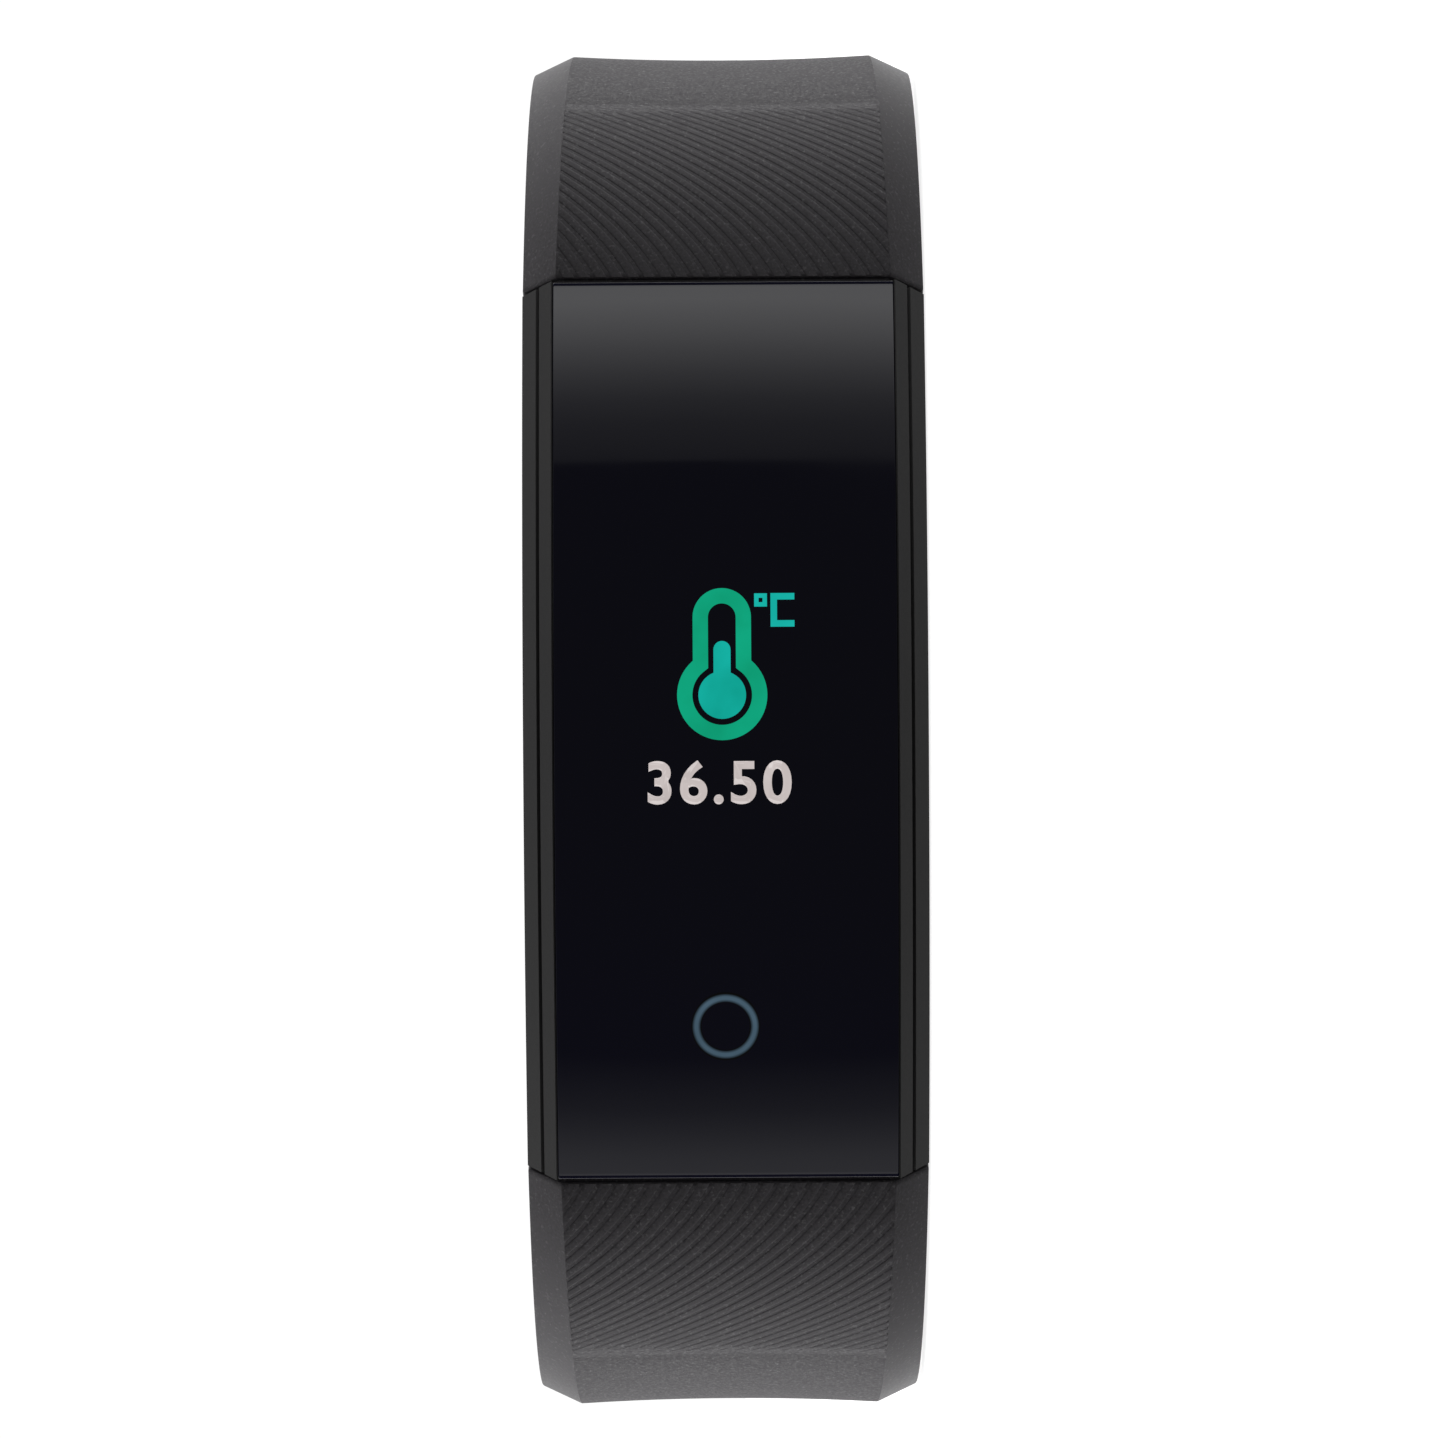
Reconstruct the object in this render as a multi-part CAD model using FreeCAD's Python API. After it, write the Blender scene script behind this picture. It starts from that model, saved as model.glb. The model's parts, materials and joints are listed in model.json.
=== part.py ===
import FreeCAD, Part
import math
import os

# A slim fitness tracker lying on its side, unbuckled, with its strap relaxed into an open loop.
# X runs along the display (12 o'clock is +X), the display faces -Y, and Z runs across the band, along the wrist.
# The origin is the middle of the case's lower side wall, which lies on z = 0.

Vector = FreeCAD.Vector
UP = Vector(0, 0, 1)
ALONG_Y = Vector(0, 1, 0)

# ---- driving dimensions: millimetres and degrees ----
MID_Z = 10.0  # middle plane of the band
HALF_WIDTH = 10.0  # half the width of the case
CASE_DEPTH = 10.0  # from the lens to the back of the case
LENS_RADIUS = 72.0  # the case is curved along its length
CASE_AXIS_Y = 66.5  # where the axis of that curve lies
END_ANGLE = 18.0  # half the angle that the case spans about that axis
LENS_THICK = 1.0
LENS_HALF = 8.4  # half the width of the lens
LENS_GAP = 0.05
BEVEL_TOP = 8.52  # the bevel beside the lens starts at this half width
BEVEL_DEPTH = 2.0  # and ends this deep at the side wall
GROOVE_TOP = (9.13, 0.82)  # (half width, depth) of the edges of the parting groove on the bevel
GROOVE_BOTTOM = (9.30, 1.06)
BACK_CHAMFER = 1.4
SIDE_WALL = 1.0
BACK_WALL = 1.2
CAVITY_ANGLE = 16.8  # half the angle that the inside of the case spans
LEDGE_HALF = 7.4  # half the width of the window in the front frame
LEDGE_ANGLE = 16.2
LEDGE_TOP = 1.15
LEDGE_BOTTOM = 1.9
SKIRT_HALF = 8.95
SKIRT_INNER = 8.3
SKIRT_BOTTOM = 3.2
GASKET_BOTTOM = 3.7

PCB_TOP = 1.65  # the display side of the main board, in y
PCB_BACK = 2.45  # its wrist side
PCB_X = (-17.2, 17.8)
PCB_WIDTH = 15.5
DISPLAY_X = 1.5
DISPLAY_SIZE = (28.0, 13.5)
DISPLAY_FRONT = -2.65
SENSOR_HOUSING = (23.0, 13.0)
SENSOR_PROUD = 5.9  # y of the sensor housing's face
WINDOW_SIZE = (11.0, 7.5)
WINDOW_THICK = 0.8
CONTACT_X = 8.7  # skin temperature contact
SCREW_SPOTS = ((16.0, 15.4), (-15.2, 4.6))  # (x, z) of the board screws
MOTOR_X = 12.2
MOTOR_RADIUS = 4.0
BATTERY_X = (-13.4, 7.6)
BATTERY_Y = (-0.85, 1.5)

TENON_RADIUS = 64.8  # the strap tenons leave the case at this radius
TENON_WIDTH = 12.0
TENON_THICK = 2.2
TENON_LENGTH = 11.0
SOCKET_CLEARANCE = 0.15
SOCKET_DEPTH = 11.3

SEAM_GAP = 0.15
STRAP_THICK = 2.3
SHOULDER_RADIUS = 18.45  # outer face of the strap where it turns down beside the wrist
SHOULDER_TURN = 90.0 - END_ANGLE
WEDGE_ANGLE = 22.0  # heading of the inner face of the thick end of each strap half
SIDE_RUN = 4.0  # straight run between the shoulder and the next bend
HINGE_GAP = 0.25
BUCKLE_BEND = 20.0
BUCKLE_RUN = 6.14  # straight run that ends at the spring bar
TAIL_BEND = 46.0
TAIL_TURN = 78.0
TAIL_RUN = 20.0
TAIL_TIP = 8.0
TAIL_HOLES = 10
HOLE_PITCH = 6.2
FIRST_HOLE = 15.0  # from the tip
HOLE_SIZE = (3.8, 2.7)

BAR_RADIUS = 0.75
BAR_HALF = 7.8
STRAP_END_HALF = 8.1
EYE_RADIUS = 1.7
FRAME_HALF = 9.8
FRAME_ARM = 1.5
FRAME_REACH = 10.3  # from the spring bar to the far edge of the frame
FRAME_CROSSBAR = 2.5
FRAME_THICK = 2.0
TIP_RADIUS = 0.4
TIP_INNER = 3.4  # half the length of the spring between the tips
TONGUE_HALF = 1.1
KEEPER_WALL = 1.15
KEEPER_HALF = 8.45
KEEPER_ROOM = 5.0  # height inside a keeper, for two layers of strap
KEEPER_CORNER = 1.3
KEEPER_RIM = 0.35
FIXED_KEEPER = (80.0, 10.0)  # (angle about the bend, angle that it spans)
SLIDING_KEEPER = (48.0, 14.0)
KEEPER_BITE = -0.1  # the fixed keeper is moulded onto the strap

# (distance from the seam, half width of the flat, half width, depth of the chamfer)
CAP_WIDTHS = ((0, 8.3, 9.9, 1.9), (20, 7.7, 9.67, 0.96), (27.2, 7.65, 9.62, 0.9))
BUCKLE_WIDTHS = ((27.2, 7.65, 9.62, 0.9), (37, 6.8, 8.1, 0.6), (80, 6.8, 8.1, 0.6))
TAIL_WIDTHS = ((27.2, 7.65, 9.62, 0.9), (60, 7.0, 8.5, 0.7), (130, 6.9, 8.3, 0.7))


# ---- shared helpers ----
def block(low, high):
    """A box between two opposite corners."""
    size = [b - a for a, b in zip(low, high)]
    return Part.makeBox(*size, Vector(*low))


def slab(x, z, size, low_y, high_y):
    """A box of size (along X, along Z) centred on x and z, between two heights in y."""
    half_x = size[0] / 2
    half_z = size[1] / 2
    return block((x - half_x, low_y, z - half_z), (x + half_x, high_y, z + half_z))


def round_slab(x, z, size, low_y, high_y, corner):
    """A slab whose four edges along Y are rounded."""
    body = slab(x, z, size, low_y, high_y)
    edges = [e for e in body.Edges if abs(e.tangentAt(e.FirstParameter).y) > 0.9]
    return body.makeFillet(corner, edges)


def post(x, z, radius, low_y, high_y):
    """A round post along Y."""
    return Part.makeCylinder(radius, high_y - low_y, Vector(x, low_y, z), ALONG_Y)


def rod(x, y, radius, low_z, high_z):
    """A round rod along Z."""
    return Part.makeCylinder(radius, high_z - low_z, Vector(x, y, low_z), UP)


def prism(outline, low_z, high_z):
    """An outline of (x, y) points, extruded along Z."""
    points = [Vector(x, y, low_z) for x, y in outline]
    face = Part.Face(Part.makePolygon(points + points[:1]))
    return face.extrude(Vector(0, 0, high_z - low_z))


def both_sides(half):
    """The closed outline of a section whose points on one side are (half width, depth), from front to back."""
    return [(-w, d) for w, d in reversed(half)] + list(half)


def case_sector(outline, start, end):
    """A section of (half width, depth below the lens) points, swept about the case's axis."""
    front = CASE_AXIS_Y - LENS_RADIUS
    points = [Vector(0, front + d, MID_Z + w) for w, d in outline]
    face = Part.Face(Part.makePolygon(points + points[:1]))
    axis = Vector(0, CASE_AXIS_Y, 0)
    face.rotate(axis, UP, start)
    return face.revolve(axis, UP, end - start)


def case_band(half, angle):
    """A symmetric section swept over the same angle on each side of the middle."""
    return case_sector(both_sides(half), -angle, angle)


def case_corner(radius):
    """The point at a radius on the case's +X end plane."""
    angle = math.radians(END_ANGLE)
    return Vector(radius * math.sin(angle), CASE_AXIS_Y - radius * math.cos(angle), 0)


def place(shape, point, heading):
    """Moves a shape built with +X along the strap and +Y into its thickness to its place on the strap."""
    moved = shape.copy()
    moved.rotate(Vector(0, 0, 0), UP, heading)
    moved.translate(point)
    return moved


def at_case_end(shape):
    """Moves a shape built with +X along the tenon to the tenon at the +X end."""
    return place(shape, case_corner(TENON_RADIUS), END_ANGLE)


def mirrored(shape):
    """The same shape at the other end of the case."""
    return shape.mirror(Vector(0, 0, 0), Vector(1, 0, 0))


def joined(first, *others):
    """One solid without seams."""
    return first.fuse(list(others)).removeSplitter()


# ---- case ----
def cover_lens():
    return case_band([(LENS_HALF - 0.1, 0), (LENS_HALF, 0.1), (LENS_HALF, LENS_THICK)], END_ANGLE - 0.05)


def lens_adhesive():
    outer = case_band([(LENS_HALF - 0.2, LENS_THICK), (LENS_HALF - 0.2, LEDGE_TOP)], END_ANGLE - 0.3)
    inner = case_band([(LEDGE_HALF, 0.5), (LEDGE_HALF, 2.0)], LEDGE_ANGLE)
    return outer.cut(inner)


def front_frame():
    strip = [
        (LENS_HALF + LENS_GAP, 0),
        (BEVEL_TOP, 0),
        GROOVE_TOP,
        (SKIRT_HALF, 1.0),
        (SKIRT_HALF, LEDGE_TOP),
        (LENS_HALF + LENS_GAP, LEDGE_TOP),
    ]
    other_strip = [(-w, d) for w, d in strip]
    ledge = case_band([(SKIRT_HALF, LEDGE_TOP), (SKIRT_HALF, LEDGE_BOTTOM)], END_ANGLE - 0.05)
    window = case_band([(LEDGE_HALF, 1.0), (LEDGE_HALF, 2.0)], LEDGE_ANGLE)
    skirt = case_band([(SKIRT_HALF, LEDGE_BOTTOM), (SKIRT_HALF, SKIRT_BOTTOM)], CAVITY_ANGLE - 0.05)
    hollow = case_band([(SKIRT_INNER, 1.5), (SKIRT_INNER, 4.0)], LEDGE_ANGLE)
    strips = [case_sector(s, -END_ANGLE, END_ANGLE) for s in (strip, other_strip)]
    return joined(ledge.cut(window), skirt.cut(hollow), *strips)


def case_gasket():
    outer = case_band([(SKIRT_HALF, SKIRT_BOTTOM), (SKIRT_HALF, GASKET_BOTTOM)], CAVITY_ANGLE - 0.05)
    inner = case_band([(SKIRT_INNER + 0.05, 3.0), (SKIRT_INNER + 0.05, 4.0)], LEDGE_ANGLE)
    return outer.cut(inner)


def screw_boss(x, z):
    return post(x, z, 1.3, PCB_BACK, 5.2).cut(post(x, z, 0.5, PCB_BACK, 4.6))


def plain_tenon():
    """The tongue that the buckle side of the strap is pushed onto, with two shallow detents."""
    half = TENON_WIDTH / 2
    tongue = block((-0.8, -TENON_THICK / 2, MID_Z - half), (TENON_LENGTH, TENON_THICK / 2, MID_Z + half))
    edges = [e for e in tongue.Edges if abs(e.CenterOfMass.x - TENON_LENGTH) < 0.01]
    tongue = tongue.makeChamfer(0.35, edges)
    dimples = [rod(3.5, side * TENON_THICK / 2, 0.3, MID_Z - 3, MID_Z + 3) for side in (-1, 1)]
    return at_case_end(tongue.cut(dimples))


def rear_case():
    shell = [
        (SKIRT_HALF + LENS_GAP, 1.12),
        GROOVE_BOTTOM,
        (HALF_WIDTH, BEVEL_DEPTH),
        (HALF_WIDTH, CASE_DEPTH - BACK_CHAMFER),
        (HALF_WIDTH - BACK_CHAMFER, CASE_DEPTH),
    ]
    lip = (SKIRT_HALF + LENS_GAP, LEDGE_BOTTOM + LENS_GAP)
    body = case_band([lip] + shell, END_ANGLE)
    floor = CASE_DEPTH - BACK_WALL
    cavity = [
        (HALF_WIDTH - SIDE_WALL, 1.0),
        (HALF_WIDTH - SIDE_WALL, GASKET_BOTTOM),
        (SKIRT_HALF - 0.35, GASKET_BOTTOM),
        (SKIRT_HALF - 0.35, floor - 0.6),
        (SKIRT_HALF - 0.95, floor),
    ]
    body = body.cut(case_band(cavity, CAVITY_ANGLE))
    housing = round_slab(0, MID_Z, SENSOR_HOUSING, 4.0, SENSOR_PROUD, 4.0)
    rim = [e for e in housing.Edges if e.BoundBox.YMin > SENSOR_PROUD - 0.01]
    housing = housing.makeChamfer(0.7, rim)
    body = body.fuse([housing, plain_tenon()] + [screw_boss(x, z) for x, z in SCREW_SPOTS])
    window_bed = SENSOR_PROUD - WINDOW_THICK - 0.1
    pocket = round_slab(0, MID_Z, (WINDOW_SIZE[0] + 0.1, WINDOW_SIZE[1] + 0.1), window_bed, 7.0, 1.55)
    light_way = slab(0, MID_Z, (9.0, 5.6), 2.0, 6.0)
    contact_seat = post(CONTACT_X, MID_Z, 1.85, SENSOR_PROUD - 0.7, 7.0)
    contact_way = post(CONTACT_X, MID_Z, 0.95, 2.0, 6.0)
    half = TENON_WIDTH / 2 + 0.05
    plug_way = block((-6.0, -TENON_THICK / 2 - 0.05, MID_Z - half), (1.0, TENON_THICK / 2 + 0.05, MID_Z + half))
    cuts = [pocket, light_way, contact_seat, contact_way, mirrored(at_case_end(plug_way))]
    return body.cut(cuts).removeSplitter()


# ---- display and touch ----
def display_panel():
    return slab(DISPLAY_X, MID_Z, DISPLAY_SIZE, DISPLAY_FRONT, DISPLAY_FRONT + 1.0)


def display_backlight():
    return slab(DISPLAY_X, MID_Z, DISPLAY_SIZE, DISPLAY_FRONT + 1.05, DISPLAY_FRONT + 1.55)


def display_flex():
    """A thin ribbon from the end of the display round to the main board."""
    start = DISPLAY_X + DISPLAY_SIZE[0] / 2
    outline = [
        (start, -1.9),
        (start + 2.1, -1.9),
        (start + 2.1, PCB_TOP),
        (start + 1.95, PCB_TOP),
        (start + 1.95, -1.75),
        (start, -1.75),
    ]
    return prism(outline, MID_Z - 3.5, MID_Z + 3.5)


def touch_electrode():
    half = 3.0
    return case_sector(both_sides([(half, LENS_THICK + 0.02), (half, LENS_THICK + 0.2)]), -14.2, -9.6)


# ---- boards and their parts ----
def main_pcb():
    middle = sum(PCB_X) / 2
    board = round_slab(middle, MID_Z, (PCB_X[1] - PCB_X[0], PCB_WIDTH), PCB_TOP, PCB_BACK, 1.0)
    return board.cut([post(x, z, 0.55, 0, 4) for x, z in SCREW_SPOTS])


def chip(x, z, size, height, corner=0.0):
    """A component on the wrist side of the main board."""
    body = slab(x, z, size, PCB_BACK, PCB_BACK + height)
    if not corner:
        return body
    edges = [e for e in body.Edges if e.BoundBox.YMin > PCB_BACK + height - 0.01]
    return body.makeChamfer(corner, edges)


def passive_components():
    """Two rows of small capacitors and resistors beside the larger chips."""
    rows = [chip(x, MID_Z - 6.6, (0.6, 1.0), 0.35) for x in (-12.0, -10.6, -6.0, -4.6, 5.0, 6.4, 7.8, 11.2)]
    rows += [chip(x, MID_Z + 6.6, (0.6, 1.0), 0.35) for x in (-12.0, -10.6, -9.2, -4.0, 2.6, 4.0, 7.8)]
    return Part.makeCompound(rows)


def pcb_screws():
    screws = []
    for x, z in SCREW_SPOTS:
        head = post(x, z, 0.95, PCB_TOP - 0.5, PCB_TOP)
        slot = slab(x, z, (1.4, 0.25), PCB_TOP - 0.6, PCB_TOP - 0.3)
        screws.append(head.cut(slot).fuse(post(x, z, 0.5, PCB_TOP, PCB_TOP + 2.7)).removeSplitter())
    return Part.makeCompound(screws)


# ---- battery and motor ----
def battery_cell():
    middle = sum(BATTERY_X) / 2
    length = BATTERY_X[1] - BATTERY_X[0]
    body = slab(middle, MID_Z, (length, 12.0), *BATTERY_Y)
    edges = [e for e in body.Edges if abs(e.tangentAt(e.FirstParameter).x) > 0.9]
    return body.makeFillet(0.7, edges)


def battery_protection_board():
    return block((BATTERY_X[0] - 1.1, -0.6, MID_Z - 4.5), (BATTERY_X[0], 0.5, MID_Z + 4.5))


def battery_lead(z):
    """A short insulated lead that bends down from the protection board to the main board."""
    start_x = BATTERY_X[0] - 1.1
    radius = 0.28
    bend = Vector(start_x - 0.7, 0.0, z)
    out = Part.makeCylinder(radius, 0.7, Vector(start_x, 0.0, z), Vector(-1, 0, 0))
    down = Part.makeCylinder(radius, PCB_TOP, bend, ALONG_Y)
    return joined(out, Part.makeSphere(radius, bend), down)


def motor_can():
    can = post(MOTOR_X, MID_Z, MOTOR_RADIUS, -0.95, 1.3)
    rim = [e for e in can.Edges if e.BoundBox.YMax < -0.94]
    can = can.makeFillet(0.25, rim)
    return can.cut(post(MOTOR_X, MID_Z, MOTOR_RADIUS - 0.2, -0.75, 2.0))


def motor_base():
    disc = post(MOTOR_X, MID_Z, MOTOR_RADIUS, 1.3, 1.6)
    return disc.cut(post(MOTOR_X, MID_Z, TIP_RADIUS, 1.3, 1.45))


def motor_shaft():
    return post(MOTOR_X, MID_Z, TIP_RADIUS, -0.75, 1.45)


def motor_rotor():
    """A half disc with a hub, so that its weight lies to one side of the shaft."""
    disc = post(MOTOR_X, MID_Z, MOTOR_RADIUS - 0.6, -0.45, 0.75)
    half = block((MOTOR_X - 0.4, -1, 0), (MOTOR_X + 9, 2, 20))
    hub = post(MOTOR_X, MID_Z, 1.1, -0.45, 0.75)
    return joined(disc.common(half), hub).cut(post(MOTOR_X, MID_Z, TIP_RADIUS + 0.05, -1, 2))


# ---- sensors on the wrist side ----
def hr_leds():
    return Part.makeCompound([chip(side * 3.5, MID_Z, (1.6, 1.6), 0.6, 0.15) for side in (-1, 1)])


def hr_light_barrier():
    outer = slab(0, MID_Z, (4.4, 4.4), PCB_BACK, 4.9)
    return outer.cut(slab(0, MID_Z, (3.4, 3.4), 2.0, 6.0))


def sensor_window():
    body = round_slab(0, MID_Z, WINDOW_SIZE, SENSOR_PROUD - WINDOW_THICK, SENSOR_PROUD, 1.5)
    rim = [e for e in body.Edges if e.BoundBox.YMin > SENSOR_PROUD - 0.01]
    return body.makeFillet(0.2, rim)


def window_adhesive():
    bed = SENSOR_PROUD - WINDOW_THICK
    ring = round_slab(0, MID_Z, WINDOW_SIZE, bed - 0.1, bed, 1.5)
    return ring.cut(slab(0, MID_Z, (9.0, 5.6), 2.0, 6.0))


def temp_contact():
    """A polished steel button with a stem that carries heat to the thermistor."""
    head = post(CONTACT_X, MID_Z, 1.8, SENSOR_PROUD - 0.7, SENSOR_PROUD + 0.15)
    rim = [e for e in head.Edges if e.BoundBox.YMin > SENSOR_PROUD]
    return joined(head.makeFillet(0.12, rim), post(CONTACT_X, MID_Z, 0.9, 3.0, SENSOR_PROUD - 0.7))


# ---- charging plug ----
def usb_plug_board():
    """The tongue at the tail end, which is also the plug that goes into a charger."""
    half = TENON_WIDTH / 2
    tongue = block((-4.0, -TENON_THICK / 2, MID_Z - half), (TENON_LENGTH, TENON_THICK / 2, MID_Z + half))
    edges = [e for e in tongue.Edges if abs(e.CenterOfMass.x - TENON_LENGTH) < 0.01]
    return mirrored(at_case_end(tongue.makeChamfer(0.35, edges)))


def usb_contacts():
    """Four gold strips on the face of the plug, the outer two longer than the inner two."""
    strips = []
    for offset, start in ((-3.5, 2.6), (-1.0, 3.6), (1.0, 3.6), (3.5, 2.6)):
        top = -TENON_THICK / 2
        strip = block((start, top - 0.08, MID_Z + offset - 0.5), (TENON_LENGTH - 1.0, top, MID_Z + offset + 0.5))
        strips.append(mirrored(at_case_end(strip)))
    return Part.makeCompound(strips)


# ---- strap ----
def direction(heading):
    angle = math.radians(heading)
    return Vector(math.cos(angle), math.sin(angle), 0)


def inward(heading):
    """Towards the wrist from the outer face, square to the strap."""
    return direction(heading + 90)


SEAM = case_corner(LENS_RADIUS) + direction(END_ANGLE) * SEAM_GAP


def strap_line(start, runs):
    """Stations (distance, point on the outer face, heading) along runs of (radius, degrees or length, steps).

    A radius of 0 is a straight run.
    """
    distance, point, heading = start
    stations = [start]
    for radius, amount, steps in runs:
        for _ in range(steps):
            if radius:
                turn = amount / steps
                centre = point + inward(heading) * radius
                heading += turn
                point = centre - inward(heading) * radius
                distance += radius * math.radians(turn)
            else:
                point = point + direction(heading) * (amount / steps)
                distance += amount / steps
            stations.append((distance, point, heading))
    return stations


def widths_at(table, distance):
    """The row of a width table at a distance, between its two nearest rows."""
    for low, high in zip(table, table[1:]):
        if distance <= high[0]:
            share = (distance - low[0]) / (high[0] - low[0])
            return [a + (b - a) * share for a, b in zip(low[1:], high[1:])]
    return list(table[-1][1:])


def strap_section(point, heading, flat, half, drop, thick, inner_cut):
    """The wire of one strap section: a flat top with chamfered edges, and a flat back with smaller ones."""
    side = [(flat, 0), (half, drop), (half, thick - inner_cut), (half - inner_cut, thick)]
    depth = inward(heading)
    points = [point + depth * d + UP * (MID_Z + w) for w, d in both_sides(side)]
    return Part.makePolygon(points + points[:1])


def wedge_thickness(heading):
    """Thickness of the strap at a heading on the shoulder, where its inner face is flat."""
    reach = (SHOULDER_RADIUS - CASE_DEPTH) * math.cos(math.radians(WEDGE_ANGLE - END_ANGLE))
    wedge = SHOULDER_RADIUS - reach / math.cos(math.radians(heading - WEDGE_ANGLE))
    return max(STRAP_THICK, wedge)


def strap_loft(stations, table, tip=None):
    """The solid through the sections at the stations, with its end rounded over the length of tip."""
    wires = []
    last = stations[-1][0]
    for distance, point, heading in stations:
        flat, half, drop = widths_at(table, distance)
        thick = wedge_thickness(heading) if distance < 24 else STRAP_THICK
        inner_cut = 0.4 + (BACK_CHAMFER - 0.4) * max(0, thick - STRAP_THICK) / (CASE_DEPTH - STRAP_THICK)
        if tip:
            left = min(1.0, (last - distance) / tip)
            pull = half * (1 - math.sqrt(1 - (1 - left) ** 2 * 0.94))
            flat = flat - pull
            half = half - pull
        wires.append(strap_section(point, heading, flat, half, drop, thick, inner_cut))
    return Part.makeLoft(wires, True, True)


SHOULDER = strap_line((0.0, SEAM, END_ANGLE), [(SHOULDER_RADIUS, SHOULDER_TURN, 18)])
CAP_LINE = strap_line(SHOULDER[-1], [(0, SIDE_RUN - STRAP_THICK / 2 - HINGE_GAP, 1)])
HINGE = strap_line(SHOULDER[-1], [(0, SIDE_RUN, 1)])[-1]
HINGE_AXIS = HINGE[1] + inward(90) * (STRAP_THICK / 2)
BUCKLE_LINE = strap_line(HINGE, [(BUCKLE_BEND, 90, 18), (0, BUCKLE_RUN, 1)])
BEND_CENTRE = HINGE[1] + inward(90) * BUCKLE_BEND
BAR = BUCKLE_LINE[-1][1] + inward(180) * (STRAP_THICK / 2)
TAIL_LINE = strap_line(HINGE, [(TAIL_BEND, TAIL_TURN, 20), (0, TAIL_RUN, 2), (0, TAIL_TIP, 10)])


def strap_cap():
    """The thick end of a strap half, with the socket that goes over the tenon."""
    body = strap_loft(SHOULDER + CAP_LINE[1:], CAP_WIDTHS)
    half = TENON_WIDTH / 2 + SOCKET_CLEARANCE
    deep = TENON_THICK / 2 + SOCKET_CLEARANCE
    socket = block((-1.0, -deep, MID_Z - half), (SOCKET_DEPTH, deep, MID_Z + half))
    return body.cut(at_case_end(socket))


def hinge_round():
    """The half-round root of a band, about the axis that the strap flexes on."""
    return rod(HINGE_AXIS.x, HINGE_AXIS.y, STRAP_THICK / 2, MID_Z - 7.6, MID_Z + 7.6)


def buckle_strap_band():
    body = strap_loft(BUCKLE_LINE, BUCKLE_WIDTHS).fuse(hinge_round())
    ends = (MID_Z - STRAP_END_HALF, MID_Z + STRAP_END_HALF)
    body = body.fuse(rod(BAR.x, BAR.y, EYE_RADIUS, *ends))
    bore = rod(BAR.x, BAR.y, BAR_RADIUS + 0.05, *ends)
    slot_half = TONGUE_HALF + 0.25
    slot = block((BAR.x - 3, BAR.y - 3, MID_Z - slot_half), (BAR.x + 3.6, BAR.y + 3, MID_Z + slot_half))
    return body.cut([bore, slot]).removeSplitter()


def tail_hole():
    """A rounded hole through the strap, built at the station's own axes."""
    length, width = HOLE_SIZE
    run = (length - width) / 2
    middle = block((-run, -1, MID_Z - width / 2), (run, STRAP_THICK + 1, MID_Z + width / 2))
    ends = [post(side * run, MID_Z, width / 2, -1, STRAP_THICK + 1) for side in (-1, 1)]
    return middle.fuse(ends)


def tail_strap_band():
    body = strap_loft(TAIL_LINE, TAIL_WIDTHS, TAIL_TIP).fuse(hinge_round())
    straight = TAIL_RUN + TAIL_TIP
    holes = []
    for i in range(TAIL_HOLES):
        from_tip = FIRST_HOLE + i * HOLE_PITCH
        if from_tip <= straight:
            run = (0, straight - from_tip, 1)
            bend = (TAIL_BEND, TAIL_TURN, 1)
            runs = [bend, run]
        else:
            runs = [(TAIL_BEND, TAIL_TURN - math.degrees((from_tip - straight) / TAIL_BEND), 1)]
        _, point, heading = strap_line(HINGE, runs)[-1]
        holes.append(place(tail_hole(), point, heading))
    return mirrored(body.cut(holes).removeSplitter())


# ---- buckle ----
def buckle_frame():
    """A U-shaped frame whose arms take the tips of the spring bar."""
    far = BAR.x - FRAME_REACH
    low_y = BAR.y - FRAME_THICK / 2
    high_y = BAR.y + FRAME_THICK / 2
    plate = slab((far + BAR.x) / 2, MID_Z, (FRAME_REACH, 2 * FRAME_HALF), low_y, high_y)
    corners = [e for e in plate.Edges if abs(e.CenterOfMass.x - far) < 0.01 and e.BoundBox.ZLength < 0.01]
    plate = plate.makeFillet(2.8, corners)
    rim = [e for e in plate.Edges if e.BoundBox.YLength < 0.01 and e.CenterOfMass.x < BAR.x - 0.01]
    plate = plate.makeFillet(0.35, rim)
    inner_half = FRAME_HALF - FRAME_ARM
    opening = block(
        (far + FRAME_CROSSBAR, low_y - 1, MID_Z - inner_half), (BAR.x + 3, high_y + 1, MID_Z + inner_half)
    )
    corners = [
        e
        for e in opening.Edges
        if abs(e.CenterOfMass.x - far - FRAME_CROSSBAR) < 0.01 and e.BoundBox.ZLength < 0.01
    ]
    frame = plate.cut(opening.makeFillet(1.3, corners))
    eyes = []
    holes = []
    for side in (-1, 1):
        span = sorted((MID_Z + side * inner_half, MID_Z + side * FRAME_HALF))
        eyes.append(rod(BAR.x, BAR.y, EYE_RADIUS, *span))
        deep = sorted((MID_Z + side * (inner_half - 0.1), MID_Z + side * (FRAME_HALF - 0.35)))
        holes.append(rod(BAR.x, BAR.y, TIP_RADIUS + 0.05, *deep))
    return frame.fuse(eyes).cut(holes).removeSplitter()


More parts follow.
